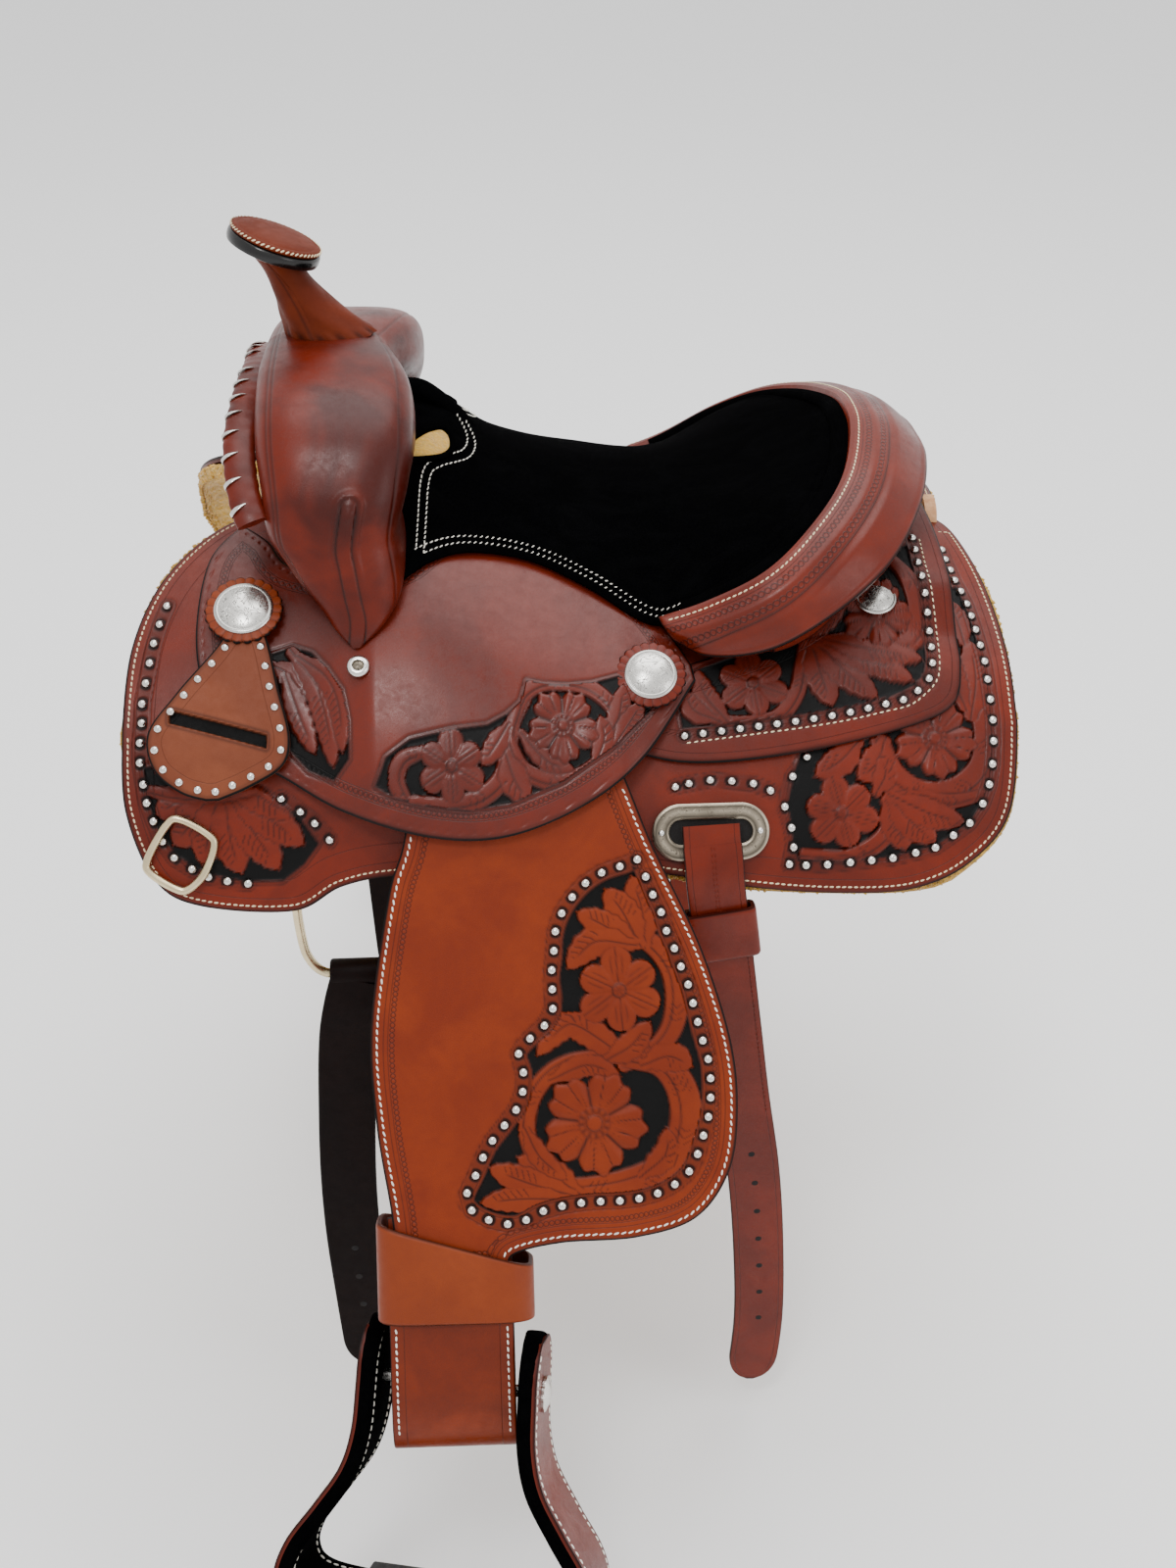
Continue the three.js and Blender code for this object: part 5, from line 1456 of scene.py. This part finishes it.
# the band that binds the gullet's edge, and its laces
half = [[-165, -170, 17], [-187, -163, 40], [-207, -142, 66], [-216, -104, 96], [-215, -50, 115]]
route = arch(half, [-213, 0, 120])
t = np.linspace(0, 1, 260)
turn = np.linspace(0, 2 * PI, 40, endpoint=False)
pucker = 1 + 0.045 * np.sin(t * 2 * PI * 15) ** 2
v, f = sweep(route.at(lerp(0.15, 0.85, t)), np.stack([3.6 * np.sin(turn), 10.0 * np.cos(turn)], -1),
             up=(1, 0, 0), scale=pucker)
mesh("gullet_binding_leather", v, f, m_swell, "saddle", stands_for=["gullet_binding"], slot="russet_leather")
LACE = [(1.6, 0.25), (1.3, 0.5), (-1.3, 0.5), (-1.6, 0.25), (-1.6, -0.25), (-1.3, -0.5), (1.3, -0.5),
        (1.6, -0.25)]
turn = np.linspace(0, 2 * PI, 40, endpoint=False)[:, None]
laces = []
for k in np.concatenate([np.linspace(0.175, 0.46, 8), np.linspace(0.54, 0.825, 8)]):
    p, go = route.at(k), unit(route.at(k + 0.002) - route.at(k - 0.002))
    wide = unit(FORWARD - go[0] * go)
    thin = np.cross(go, wide)
    loop = p - 5.0 * wide + 5.8 * np.cos(turn) * wide + 4.1 * np.sin(turn) * thin + 2.6 * np.cos(turn) * go
    laces.append(sweep(loop, LACE, up=loop - p, closed=True))
v, f = joined(*laces)
mesh("binding_laces", v, f, m_nickel, "saddle", slot="silver")

# ---- horn ----
TILT = math.radians(21)
HEAD = np.array([-195.0, 0, 199])
ROT = np.array([[math.cos(TILT), 0, math.sin(TILT)], [0, 1, 0], [-math.sin(TILT), 0, math.cos(TILT)]])


def horn_piece(name, verts, faces, material, slot, node=()):
    """A piece in the tilted frame of the horn's head."""
    mesh(name, np.asarray(verts) @ ROT.T + HEAD, faces, material, "saddle", stands_for=node, slot=slot)


v, f = lathe([(0.01, 4.9), (29.6, 4.9), (30.3, 5.2), (30.8, 6.1), (30.2, 7.3), (28.6, 8.2), (26.8, 8.5),
              (26.0, 8.3), (25.2, 8.7), (22, 9.4), (16, 9.9), (8, 10.2), (0.01, 10.3)], 96)
horn_piece("horn_cap_leather", v, outward(v, f), m_horn, "dark_leather", ["horn_cap"])
v, f = lathe([(24.8, -3.2), (29.0, -3.4), (30.6, -2.8), (31.2, -1.2), (31.3, 0.6), (31.2, 2.4), (30.7, 3.8),
              (29.4, 4.7), (24.8, 4.6), (24.8, -3.2)], 96)
horn_piece("horn_rim_band", v, outward(v, f), m_black, "black_rubber", ["horn_rim"])
turn = np.arange(81) * 2 * PI / 80
seam = np.stack([30.3 * np.cos(turn), 30.3 * np.sin(turn), 7.2 + 0 * turn], -1)
normal = np.stack([np.cos(turn), np.sin(turn), 0.4 + 0 * turn], -1)
v, f = stitches(seam, normal, pitch=3.3, length=2.9, radius=0.55, slant=0.7)
horn_piece("horn_stitching", v, f, m_thread, "pale_lace")
v, f = lathe([(0.01, -3.4), (24.2, -3.4), (24.2, -2.8), (0.01, -2.8)], 64)
horn_piece("horn_underside", v, outward(v, f), m_horn, "dark_leather")
wrap_r = profile([[0, 30], [0.2, 26], [0.45, 20.5], [0.75, 17], [1, 20]])
t, turn = np.meshgrid(np.linspace(0, 1, 121), np.linspace(0, 2 * PI, 144, endpoint=False), indexing="ij")
crimp = 1.6 * bell((t - 0.03) * 60, 4.5) * np.maximum(0, np.cos(13 * turn)) * (0.7 + 0.3 * np.cos(3 * turn))
fold = 0.9 * np.cos(6 * turn + 3.5 * t) * bell(t - 0.22, 0.16)
fold = fold + 0.5 * np.cos(4 * turn - 5 * t) * bell(t - 0.6, 0.3)
r = wrap_r(t) + crimp + fold - 0.6 * bell(turn - 4.4 - 0.2 * np.sin(3 * t), 0.035)
x, y = r * np.cos(turn), r * np.sin(turn) * lerp(0.82, 0.95, t)
bend = TILT * t
top = HEAD + ROT @ np.array([0, 0, -3.6])
centre = lerp(np.array([-162, 0, 142.0]), top, t[..., None])
v, f = capped(centre + np.stack([x * np.cos(bend), y, -x * np.sin(bend)], -1))
# painted shade in the troughs between the crimps, through the cut attribute; the line at turn 4.4 is the
# wrap's seam
cut = 0.75 * bell((t - 0.03) * 60, 4) * np.maximum(0, -np.cos(13 * turn)) + 0.6 * bell(turn - 4.4, 0.05)
mesh("horn_wrap_leather", v, f, m_horn, "saddle", {"cut": cut.ravel()}, stands_for=["horn_wrap", "horn_core"],
     slot="dark_leather")

# ---- cantle roll and back ----
IN_R = arch([[52, -151, -5], [84, -154, 8], [120, -154, 28], [152, -131, 49], [177, -92, 65], [192, -33, 79]],
            [193.5, 0, 82])
OUT_R = arch([[60, -162, -16], [80, -173, -22], [119, -182, -15], [157, -176, 3], [199, -152, 28],
              [230, -102, 49], [248, -37, 60]], [250, 0, 61])


def roll_face(u, t, k):
    """Points, normals and width of the roll; k is 1 on its face and 0 underneath."""
    p, q, along = IN_R.at(u), OUT_R.at(u), IN_R.tangent(u)
    nrm = unit(np.cross(unit(q - p), along))
    nrm *= np.where(nrm[..., 2:] < 0, -1, 1)
    swell = 5 * np.sin(PI * np.minimum(1, t * 1.1)) - 5 * t * t
    face = lerp(p, q, t[..., None]) + nrm * (swell + (k - 0.5) * 7 + 1)[..., None]
    return face, nrm, np.linalg.norm(q - p, axis=-1)


u, t = uv_grid(361, 61)
face, nrm, span = roll_face(u, t, 1)
from_in = t * span
end_gap = np.minimum(u, 1 - u) * IN_R.length
rim = np.minimum(np.minimum(from_in, span - from_in), end_gap)
shape = -1.6 * (1 - ease(rim, 0, 3.2)) ** 2 + 0.7 * bell(from_in - 17, 3.4) + 1.3 * ease(from_in, 27, 34)
dye = 1 - ease(np.minimum(span - from_in, end_gap), 0.6, 1.4)
v, f = slab(face + nrm * shape[..., None], roll_face(sparse(u), sparse(t), 0)[0])
mesh("cantle_roll_leather", v, f, m_roll, "saddle",
     {"edge": from_in.ravel(), "along": (u * IN_R.length).ravel(), "dye": dye.ravel(),
      "cut": (0.8 * bell(from_in - 26.5, 0.9)).ravel()}, stands_for=["cantle_roll"], slot="russet_leather")
inner = IN_R.at(np.linspace(0.04, 0.96, 240))
inner = inner + unit(np.array([60.0, 0, 20.0]) - inner) * 5.0 - [0, 0, 3.0]
v, f = sweep(inner, oval(7.5, 5.5, 24), up=(0, 0, 1))
mesh("seat_rim_suede", v, f, m_suede, "saddle", slot="black_suede")
u = np.linspace(0.01, 0.99, 300)
p, n, _ = roll_face(u, 5.0 / np.linalg.norm(OUT_R.at(u) - IN_R.at(u), axis=-1), 1)
v, f = stitches(p, n, pitch=4.0, length=3.0, radius=0.55)
mesh("cantle_roll_stitching", v, f, m_thread, "saddle", slot="pale_lace")
u, t = uv_grid(161, 41)
p, q = IN_R.at(lerp(0.13, 0.87, u)), OUT_R.at(lerp(0.13, 0.87, u))
flat = unit((q - p) * (1, 1, 0))
top = lerp(p, q, 0.4) - 3 * flat - (0, 0, 10)
a = -SIDE * np.arcsin(top[..., 1] / (SIDE + 20))
foot = side(top[..., 0] + 3, a, rear_under(a) + 5.5)
wall = lerp(top, foot, t[..., None])
bulge = 1.5 * np.sin(PI * t)[..., None]
v, f = slab(wall + flat * (3 + bulge), sparse(wall))
edge = np.minimum(np.minimum(t, 1 - t) * 40, np.minimum(u, 1 - u) * 300)
mesh("cantle_back_leather", v, f, m_strap, "saddle", edged(edge, 0.4, 1.2), stands_for=["cantle_back"],
     slot="russet_leather")


# ---- conchos on scalloped leather rosettes ----
def concho(radius):
    outline = [(0.01, 0), (1, 0), (1, 0.7), (0.97, 1.3), (0.9, 1.7), (0.86, 1.5), (0.82, 1.9), (0.78, 2.3),
               (0.6, 3.4), (0.4, 4.2), (0.2, 4.7), (0.01, 4.8)]
    v, f = lathe([(k * radius if k > 0.01 else k, z) for k, z in outline], 168)
    r = np.hypot(v[:, 0], v[:, 1])
    return v, f, {"cut": 0.7 * bell(r - radius * 0.9, 0.4),
                  "field": 1 - ease(r, radius * 0.82, radius * 0.88)}


def rosette(radius):
    """The scalloped leather disc under a concho."""
    lobes = 22
    outline = [(0.01, 0), (radius, 0), (radius * 1.01, 1), (radius * 0.99, 2.0), (radius * 0.95, 2.5),
               (0.01, 2.6)]
    v, f = lathe(outline, lobes * 8,
                 lambda r, turn: 1 + 0.07 * (np.abs(np.cos(lobes * turn / 2)) - 0.6) * (r > radius * 0.9))
    r, turn = np.hypot(v[:, 0], v[:, 1]), np.arctan2(v[:, 1], v[:, 0])
    notch = (r > radius * 0.88) * (np.abs(np.cos(lobes * turn / 2)) < 0.3)
    return v, f, {"dye": ease(r, radius * 0.97, radius) * (v[:, 2] < 2.2),
                  "cut": 0.8 * bell(r - radius * 0.86, 0.7) + 0.6 * notch}


def outward_at(x, a, n):
    return unit(side(x, a, n + 1.0) - side(x, a, n))


def stand(v, x, a, n):
    """Points whose z goes outward, set on the saddle at (x, a, n)."""
    out = outward_at(x, a, n)
    up = np.cross(out, FORWARD)
    return side(x, a, n) + v[:, :1] * FORWARD + v[:, 1:2] * up + v[:, 2:] * out


def fitting(name, shape, spot, material, slot, attrs=None, node=()):
    """A small piece that stands on each side of the saddle."""
    v, f = stand(shape[0], *spot), shape[1]
    both(name, v, outward(v, f), material, "saddle", attrs, node, slot=slot)


CONCHOS = (("front_concho", -217, 147, 21.0, 19, 24.5, m_tan),
           ("seat_concho", 44, 183, 25.5, 17, 22.5, m_strap),
           ("rear_concho", 199, 126, rear_face(0, 126) + 0.4, 14, 0, None))
for name, x, a, n, radius, leather_r, material in CONCHOS:
    *shape, at = concho(radius)
    fitting(name + "_silver", shape, (x, a, n), m_silver, "silver", at, [name] if leather_r else ())
    if leather_r:
        *shape, at = rosette(leather_r)
        fitting(name + "_rosette", shape, (x, a, n - 2.7), material, "tan_leather", at)
FORK_SCREW = (-143, 184, 25.0)
ferrule = lathe([(0.01, 0), (7.0, 0), (7.4, 0.5), (7.2, 1.6), (6.2, 2.6), (4.9, 3.1), (3.9, 2.9), (3.5, 1.6),
                 (3.2, 1.3), (0.01, 1.3)], 40)
fitting("fork_screw_ferrule", ferrule, FORK_SCREW, m_nickel, "silver", None, ["fork_screw"])
head = lathe([(0.01, 1.3), (3.2, 1.3), (3.1, 2.0), (2.0, 2.5), (0.01, 2.6)], 24)
# the whole head a darker tone, and a line across it as painted shade for a slot that the head does not have
head_tone_and_slot_shade = 0.6 + 0.4 * (np.abs(head[0][:, 0]) < 0.5)
fitting("fork_screw_head", head, FORK_SCREW, m_antique, "nickel", {"cut": head_tone_and_slot_shade})

# ---- latigo keeper ----
K_LEFT = [[-224, 150], [-232, 168], [-258, 196], [-276, 219], [-272, 240], [-256, 253], [-240, 258]]
K_RIGHT = [[-209, 150], [-201, 168], [-194, 196], [-187, 224], [-192, 240], [-212, 251], [-232, 258]]


def keeper_relief(x, a, edge):
    """The slot that the latigo's end goes through: a dip painted black as painted shade, through the dye
    attribute.
    """
    t = np.clip((x + 262) / 60, 0, 1)
    off = np.abs(a - lerp(210, 226, t))
    past = np.maximum(np.maximum(-262 - x, x + 202), 0)
    slot = np.hypot(np.maximum(off - 3.2, 0), past)
    return -2.9 * (1 - ease(slot, 0, 1.0)), 1 - ease(slot, 0.2, 0.9), 0.7 * bell(slot - 2.2, 1.0)


def keeper_face(x, a, h):
    return side(x, a, 20.5 + h)


v, f, at = panel(K_LEFT, K_RIGHT, keeper_face, lambda x, a: side(x, a, 17 + 0 * x), 0.8, keeper_relief, 75)
both("latigo_keeper_leather", v, f, m_keeper, "latigo_keeper", at, ["latigo_keeper"], slot="tan_leather")
outline = np.vstack([polyline(K_LEFT, 12), polyline(K_RIGHT, 12)[::-1]])
line = inward(outline, 5.0, outline)
spots = Curve(line[line[:, 1] > 166], per=2).at(np.linspace(0.02, 0.98, 20))
studs_on("latigo_keeper_studs", spots, keeper_face, "latigo_keeper", 0.88)

# ---- rings, plate and straps ----
def ring_path(corners):
    """A closed ring through its corners, evenly divided."""
    p, tension, count = np.array(corners, float), 0.35, 160
    q = np.vstack([p[-1:], p, p[:2]])
    t = np.linspace(0, 1, 24, endpoint=False)[:, None]
    out = []
    for i in range(len(p)):
        a, b, c, d = q[i:i + 4]
        m1, m2 = (c - a) * tension, (d - b) * tension
        out.append(b * (2 * t ** 3 - 3 * t ** 2 + 1) + m1 * (t ** 3 - 2 * t ** 2 + t)
                   + c * (3 * t ** 2 - 2 * t ** 3) + m2 * (t ** 3 - t ** 2))
    path = np.vstack(out + [out[0][:1]])
    s = np.concatenate([[0], np.cumsum(np.linalg.norm(np.diff(path, axis=0), axis=1))])
    at = np.linspace(0, s[-1], count, endpoint=False)
    return np.stack([np.interp(at, s, path[:, k]) for k in range(3)], -1)


DEE_TOP = side(-150, 300, -6)
DEE = ((-38, 0), (-41, 34), (-38, 69), (-25, 86), (25, 86), (38, 69), (41, 34), (38, 0))
v, f = hoop(ring_path([DEE_TOP + (dx, 0, -drop) for dx, drop in DEE]), 3.2, 16)
both("rigging_dee_ring", v, f, m_brass, "rigging_dee", stands_for=["rigging_dee"], slot="nickel")
BREAST_DEE = ((-263, 265), (-238, 279), (-245, 301), (-259, 311), (-281, 295))
base = side(-258, 289, 8.4)
down = -np.cross(side(-258, 289, 9.4) - base, FORWARD)
v, f = hoop(ring_path([base + (x + 258) * FORWARD + down * (a - 289) for x, a in BREAST_DEE]), 2.6, 14)
both("breast_dee_ring", v, f, m_brass, "breast_dee", stands_for=["breast_dee"], slot="nickel")


def stadium(half, rise, count):
    """A slot-shaped outline, half long and rise high."""
    t = np.linspace(0, 2 * PI, count, endpoint=False)
    shift = np.where(np.cos(t) >= 0, 1, -1) * (half - rise)
    return np.stack([rise * np.cos(t) + shift, rise * np.sin(t)], -1)


def at_height(xy, z):
    return np.column_stack([xy, np.full(len(xy), z)])


PLATE, PLATE_POINTS, SLOT_POINTS = (80, 282, 6.4), 160, 80
o, i = stadium(38, 18.5, PLATE_POINTS), stadium(27, 8, PLATE_POINTS)
# each ring from the plate's rim to its slot: share of the way in, height, cut and field
LEVELS = ((0, 0, 0, 0), (0, 1.6, 0, 0), (0.08, 2.3, 0, 0), (0.2, 2.5, 0.9, 0.6), (0.5, 2.9, 0, 1),
          (0.8, 2.5, 0.9, 0.6), (0.93, 2.3, 0, 0), (1, 1.6, 0.3, 0), (1, 0, 0.3, 0))
shape = (np.vstack([at_height(lerp(o, i, k), z) for k, z, _, _ in LEVELS]),
         [grid(len(LEVELS), PLATE_POINTS, wrap_u=True, wrap_v=True)])
cut, field = [np.repeat([level[k] for level in LEVELS], PLATE_POINTS) for k in (2, 3)]
fitting("rear_plate_silver", shape, PLATE, m_antique, "silver", {"cut": cut, "field": field}, ["rear_plate"])
# painted shade: a near-black sheet that fills the plate's slot, where the billet goes in
xy = stadium(27.4, 8.4, SLOT_POINTS)
v = np.vstack([at_height(xy, 0.5), at_height(xy, 0.0), [[0, 0, 0.5], [0, 0, 0]]])
k, m = np.arange(SLOT_POINTS), SLOT_POINTS
after = (k + 1) % m
f = np.vstack([np.stack([k, after, k * 0 + 2 * m], -1), np.stack([after + m, k + m, k * 0 + 2 * m + 1], -1),
               np.stack([k, k + m, after + m], -1), np.stack([k, after + m, after], -1)])
fitting("rear_plate_shadow", (v, [f]), PLATE, m_hole_shade, "dark_leather")
screws = stand(np.array([[-32.0, 0, 2.6], [32.0, 0, 2.6]]), *PLATE)
v, f = placed(dome(2.2, 1.4, 14, 3), screws, outward_at(*PLATE), FORWARD)
both("rear_plate_screws", v, f, m_nickel, "saddle", slot="nickel")


def strap(route, width, thick, steps, tip=True):
    """A strap along a route, with a rounded tip; gives its mesh, attributes and path."""
    path = Curve(route, 0.5)
    u = np.linspace(0, 1, steps)
    p, t = path.at(u), path.tangent(u)
    across = unit(np.cross(t, OUTBOARD))
    face = unit(np.cross(across, t))
    sec = lozenge(width / 2, thick, 1.1, 16)
    to_tip = ((1 - u) * path.length)[:, None]
    k = np.maximum(0, 1 - to_tip / (width * 0.8)) if tip else 0 * to_tip
    shrink = np.sqrt(np.maximum(0.02, 1 - k ** 2.4))
    x = sec[:, 0] * shrink
    rings = p[:, None] + across[:, None] * x[..., None] + face[:, None] * sec[None, :, 1:2]
    edge = np.minimum(width / 2 * shrink - np.abs(x), to_tip)
    along = np.broadcast_to((u * path.length)[:, None], x.shape)
    return *capped(rings), {**edged(edge, 0.3, 1.0, 0.9), "along": along.ravel()}, path


BILLET = [[80, -250, -119], [81, -256, -130], [82, -259, -143], [88, -259, -185], [94, -259, -227],
          [100, -259, -269], [108, -259, -325], [120, -259, -400], [128, -259, -480], [132, -259, -560],
          [129, -259, -628]]
v, f, at, path = strap(BILLET, 38, 4, 160)
both("rear_billet_leather", v, f, m_billet, "rear_billet", at, ["rear_billet"], slot="russet_leather")
FOLD = [[79.5, -243, -108], [80, -250, -119], [81, -256, -130], [82, -259, -143]]
v, f, at, _ = strap(FOLD, 37.4, 3.6, 30, tip=False)
both("billet_top_fold", v, f, m_billet, "rear_billet", at, slot="russet_leather")


def strap_spots(path, ts, lift, across_by=0.0):
    """Points on a strap's face, with its normal and its run there."""
    p, t = path.at(ts), path.tangent(ts)
    across = unit(np.cross(t, OUTBOARD))
    n = unit(np.cross(across, t))
    return p + n * lift + across * across_by, n, t


# a flat disc, near-black as painted shade, for each punched hole, which is not cut through
HOLE = dome(2.4, 0.12, 18, 2, 0.05)
v, f = placed(HOLE, *strap_spots(path, np.linspace(0.52, 0.86, 7), 2.03))
both("billet_holes", v, f, m_hole_shade, "rear_billet", slot="dark_leather")
rows = []
for off, lo, hi in ((-15.5, 0.12, 0.45), (15.5, 0.12, 0.45), (-1.0, 0.0, 0.16), (1.0, 0.0, 0.16)):
    p, n, _ = strap_spots(path, np.linspace(lo, hi, 60), 2.0, off)
    rows.append(stitches(p, n, pitch=4.2, length=2.9, radius=0.45))
v, f = joined(*rows)
both("billet_stitching", v, f, m_strap, "rear_billet", slot="russet_leather")


def keeper_band(path, lo, hi, half, deep, thick):
    """The band round a strap: an outer skin from edge to edge, then an inner one back."""
    steps, k = 40, 64
    turn = np.linspace(0, 2 * PI, k, endpoint=False)
    x, y = rounded(np.cos(turn), 0.2)[:, None], rounded(np.sin(turn), 0.5)[:, None]
    verts, edge = [], []
    z = np.linspace(0, 1, steps)
    for outer_skin, span in ((True, z), (False, z[::-1])):
        for t in span:
            p, n, go = strap_spots(path, lerp(lo, hi, t), 0)
            less = lip(t, 0.8, 0.06) if outer_skin else thick
            verts.append(p + np.cross(go, n) * (half - less) * x + n * (deep - less) * y)
            edge.append(np.full(k, min(t, 1 - t) * 40 if outer_skin else 0.5))
    v = np.array(verts).reshape(-1, 3)
    return v, outward(v, [grid(2 * steps, k, wrap_u=True, wrap_v=True)]), np.array(edge)


v, f, edge = keeper_band(path, 0.09, 0.165, 24.2, 6.4, 3.0)
both("billet_keeper_leather", v, f, m_strap, "billet_keeper", edged(edge, 0.3, 1.0, 0.8), ["billet_keeper"],
     slot="russet_leather")
LATIGO = [[-153, -244, -224], [-159, -246, -245], [-164, -246, -270], [-170, -246, -335], [-174, -246, -400],
          [-175, -246, -460], [-173, -246, -530], [-170, -246, -606]]
v, f, at, path = strap(LATIGO, 40, 4.5, 150)
EYE = np.array([-153, DEE_TOP[1], DEE_TOP[2] - 86])
# the strap's eye round the ring, as (x, radius) points outside and then inside
EYE_SECTION = [(-20, 8.6), (-19.4, 9.2), (-18.6, 9.6), (18.6, 9.6), (19.4, 9.2), (20.0, 8.6),
               (20.0, 6.0), (19.4, 6.0), (18.6, 6.0), (-18.6, 6.0), (-19.4, 6.0), (-20, 6.0)]
turn = np.linspace(0, 2 * PI, 48, endpoint=False)
eye = np.array([[(x, r * math.cos(t), r * math.sin(t)) for t in turn] for x, r in EYE_SECTION])
eye = eye.reshape(-1, 3) + EYE
eye_faces = outward(eye, [grid(len(EYE_SECTION), len(turn), wrap_u=True, wrap_v=True)])
v, f = joined((v, f), (eye, eye_faces))
# its near-black colour is partly painted shade
both("latigo_strap", v, f, m_latigo_dark_and_shade, "latigo", at, ["latigo"], slot="dark_leather")
v, f = placed(HOLE, *strap_spots(path, [0.66, 0.74, 0.82, 0.9], 2.28), 1.1)
both("latigo_holes", v, f, m_hole_shade, "latigo", slot="dark_leather")

# ---- lacing at the rear of the skirts ----
turn = np.linspace(0, 2 * PI, 96, endpoint=False)
loop = np.stack([262 + 0 * turn, 15 * np.cos(turn), -3 + 15 * np.sin(turn)], -1)
THONG = np.array([(1, 0.5), (0.9, 1), (-0.9, 1), (-1, 0.5), (-1, -0.5), (-0.9, -1), (0.9, -1), (1, -0.5)])
v, f = sweep(loop, THONG * (4.6, 1.9), up=loop - loop.mean(0), closed=True)
mesh("skirt_lacing_thong", v, f, m_pale, "saddle", stands_for=["skirt_lacing"], slot="pale_lace")

# ---- what stays as modelled: the tree and the ground seat under the leathers ----
for name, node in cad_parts.items():
    if not node.hide_render:
        material, slot = m_hide, "rawhide"
        if name.startswith(("tree_fork", "tree_cantle")):
            material, slot = m_wood, "wood"
        if name == "ground_seat":
            material, slot = m_under, "tan_leather"
        node.data.materials.clear()
        node.data.materials.append(material)

# ---- floor, light and camera ----
FLOOR_Z, FLOOR_HALF = -0.66, 9
corners = [(x * FLOOR_HALF, y * FLOOR_HALF, FLOOR_Z) for x, y in ((-1, -1), (1, -1), (1, 1), (-1, 1))]
floor_data = bpy.data.meshes.new("floor")
floor_data.from_pydata(corners, [], [(0, 1, 2, 3)])
floor_data.materials.append(Shader("floor_pale").finish(color=(0.93, 0.93, 0.93), rough=0.9))
floor = bpy.data.objects.new("floor", floor_data)
bpy.context.scene.collection.objects.link(floor)
world = bpy.data.worlds.new("studio")
world.use_nodes = True
background = world.node_tree.nodes["Background"]
background.inputs["Color"].default_value = (1, 1, 1, 1)
background.inputs["Strength"].default_value = 1.25
bpy.context.scene.world = world


def aim(obj, at, target):
    obj.location = at
    obj.rotation_euler = (Vector(target) - Vector(at)).to_track_quat("-Z", "Y").to_euler()
    bpy.context.scene.collection.objects.link(obj)


def area(name, at, target, size, power):
    data = bpy.data.lights.new(name, "AREA")
    data.shape, data.size, data.energy = "DISK", size, power
    aim(bpy.data.objects.new(name, data), at, target)


area("key", (-0.5, -1.5, 2.3), (0, -0.1, -0.05), 0.7, 24)
area("fill", (1.8, -1.5, 0.9), (0, -0.1, -0.1), 1.2, 9)
area("ceiling", (0.3, 0.8, 3.4), (0, 0.6, FLOOR_Z), 3.5, 110)
camera_data = bpy.data.cameras.new("camera")
camera_data.lens, camera_data.sensor_width, camera_data.sensor_fit = 38.25, 36, "AUTO"
camera_data.clip_start, camera_data.clip_end = 0.05, 50
camera = bpy.data.objects.new("camera", camera_data)
aim(camera, (-0.0462, -1.1308, 0.4811), (0, -0.25, -0.07))
bpy.context.scene.camera = camera
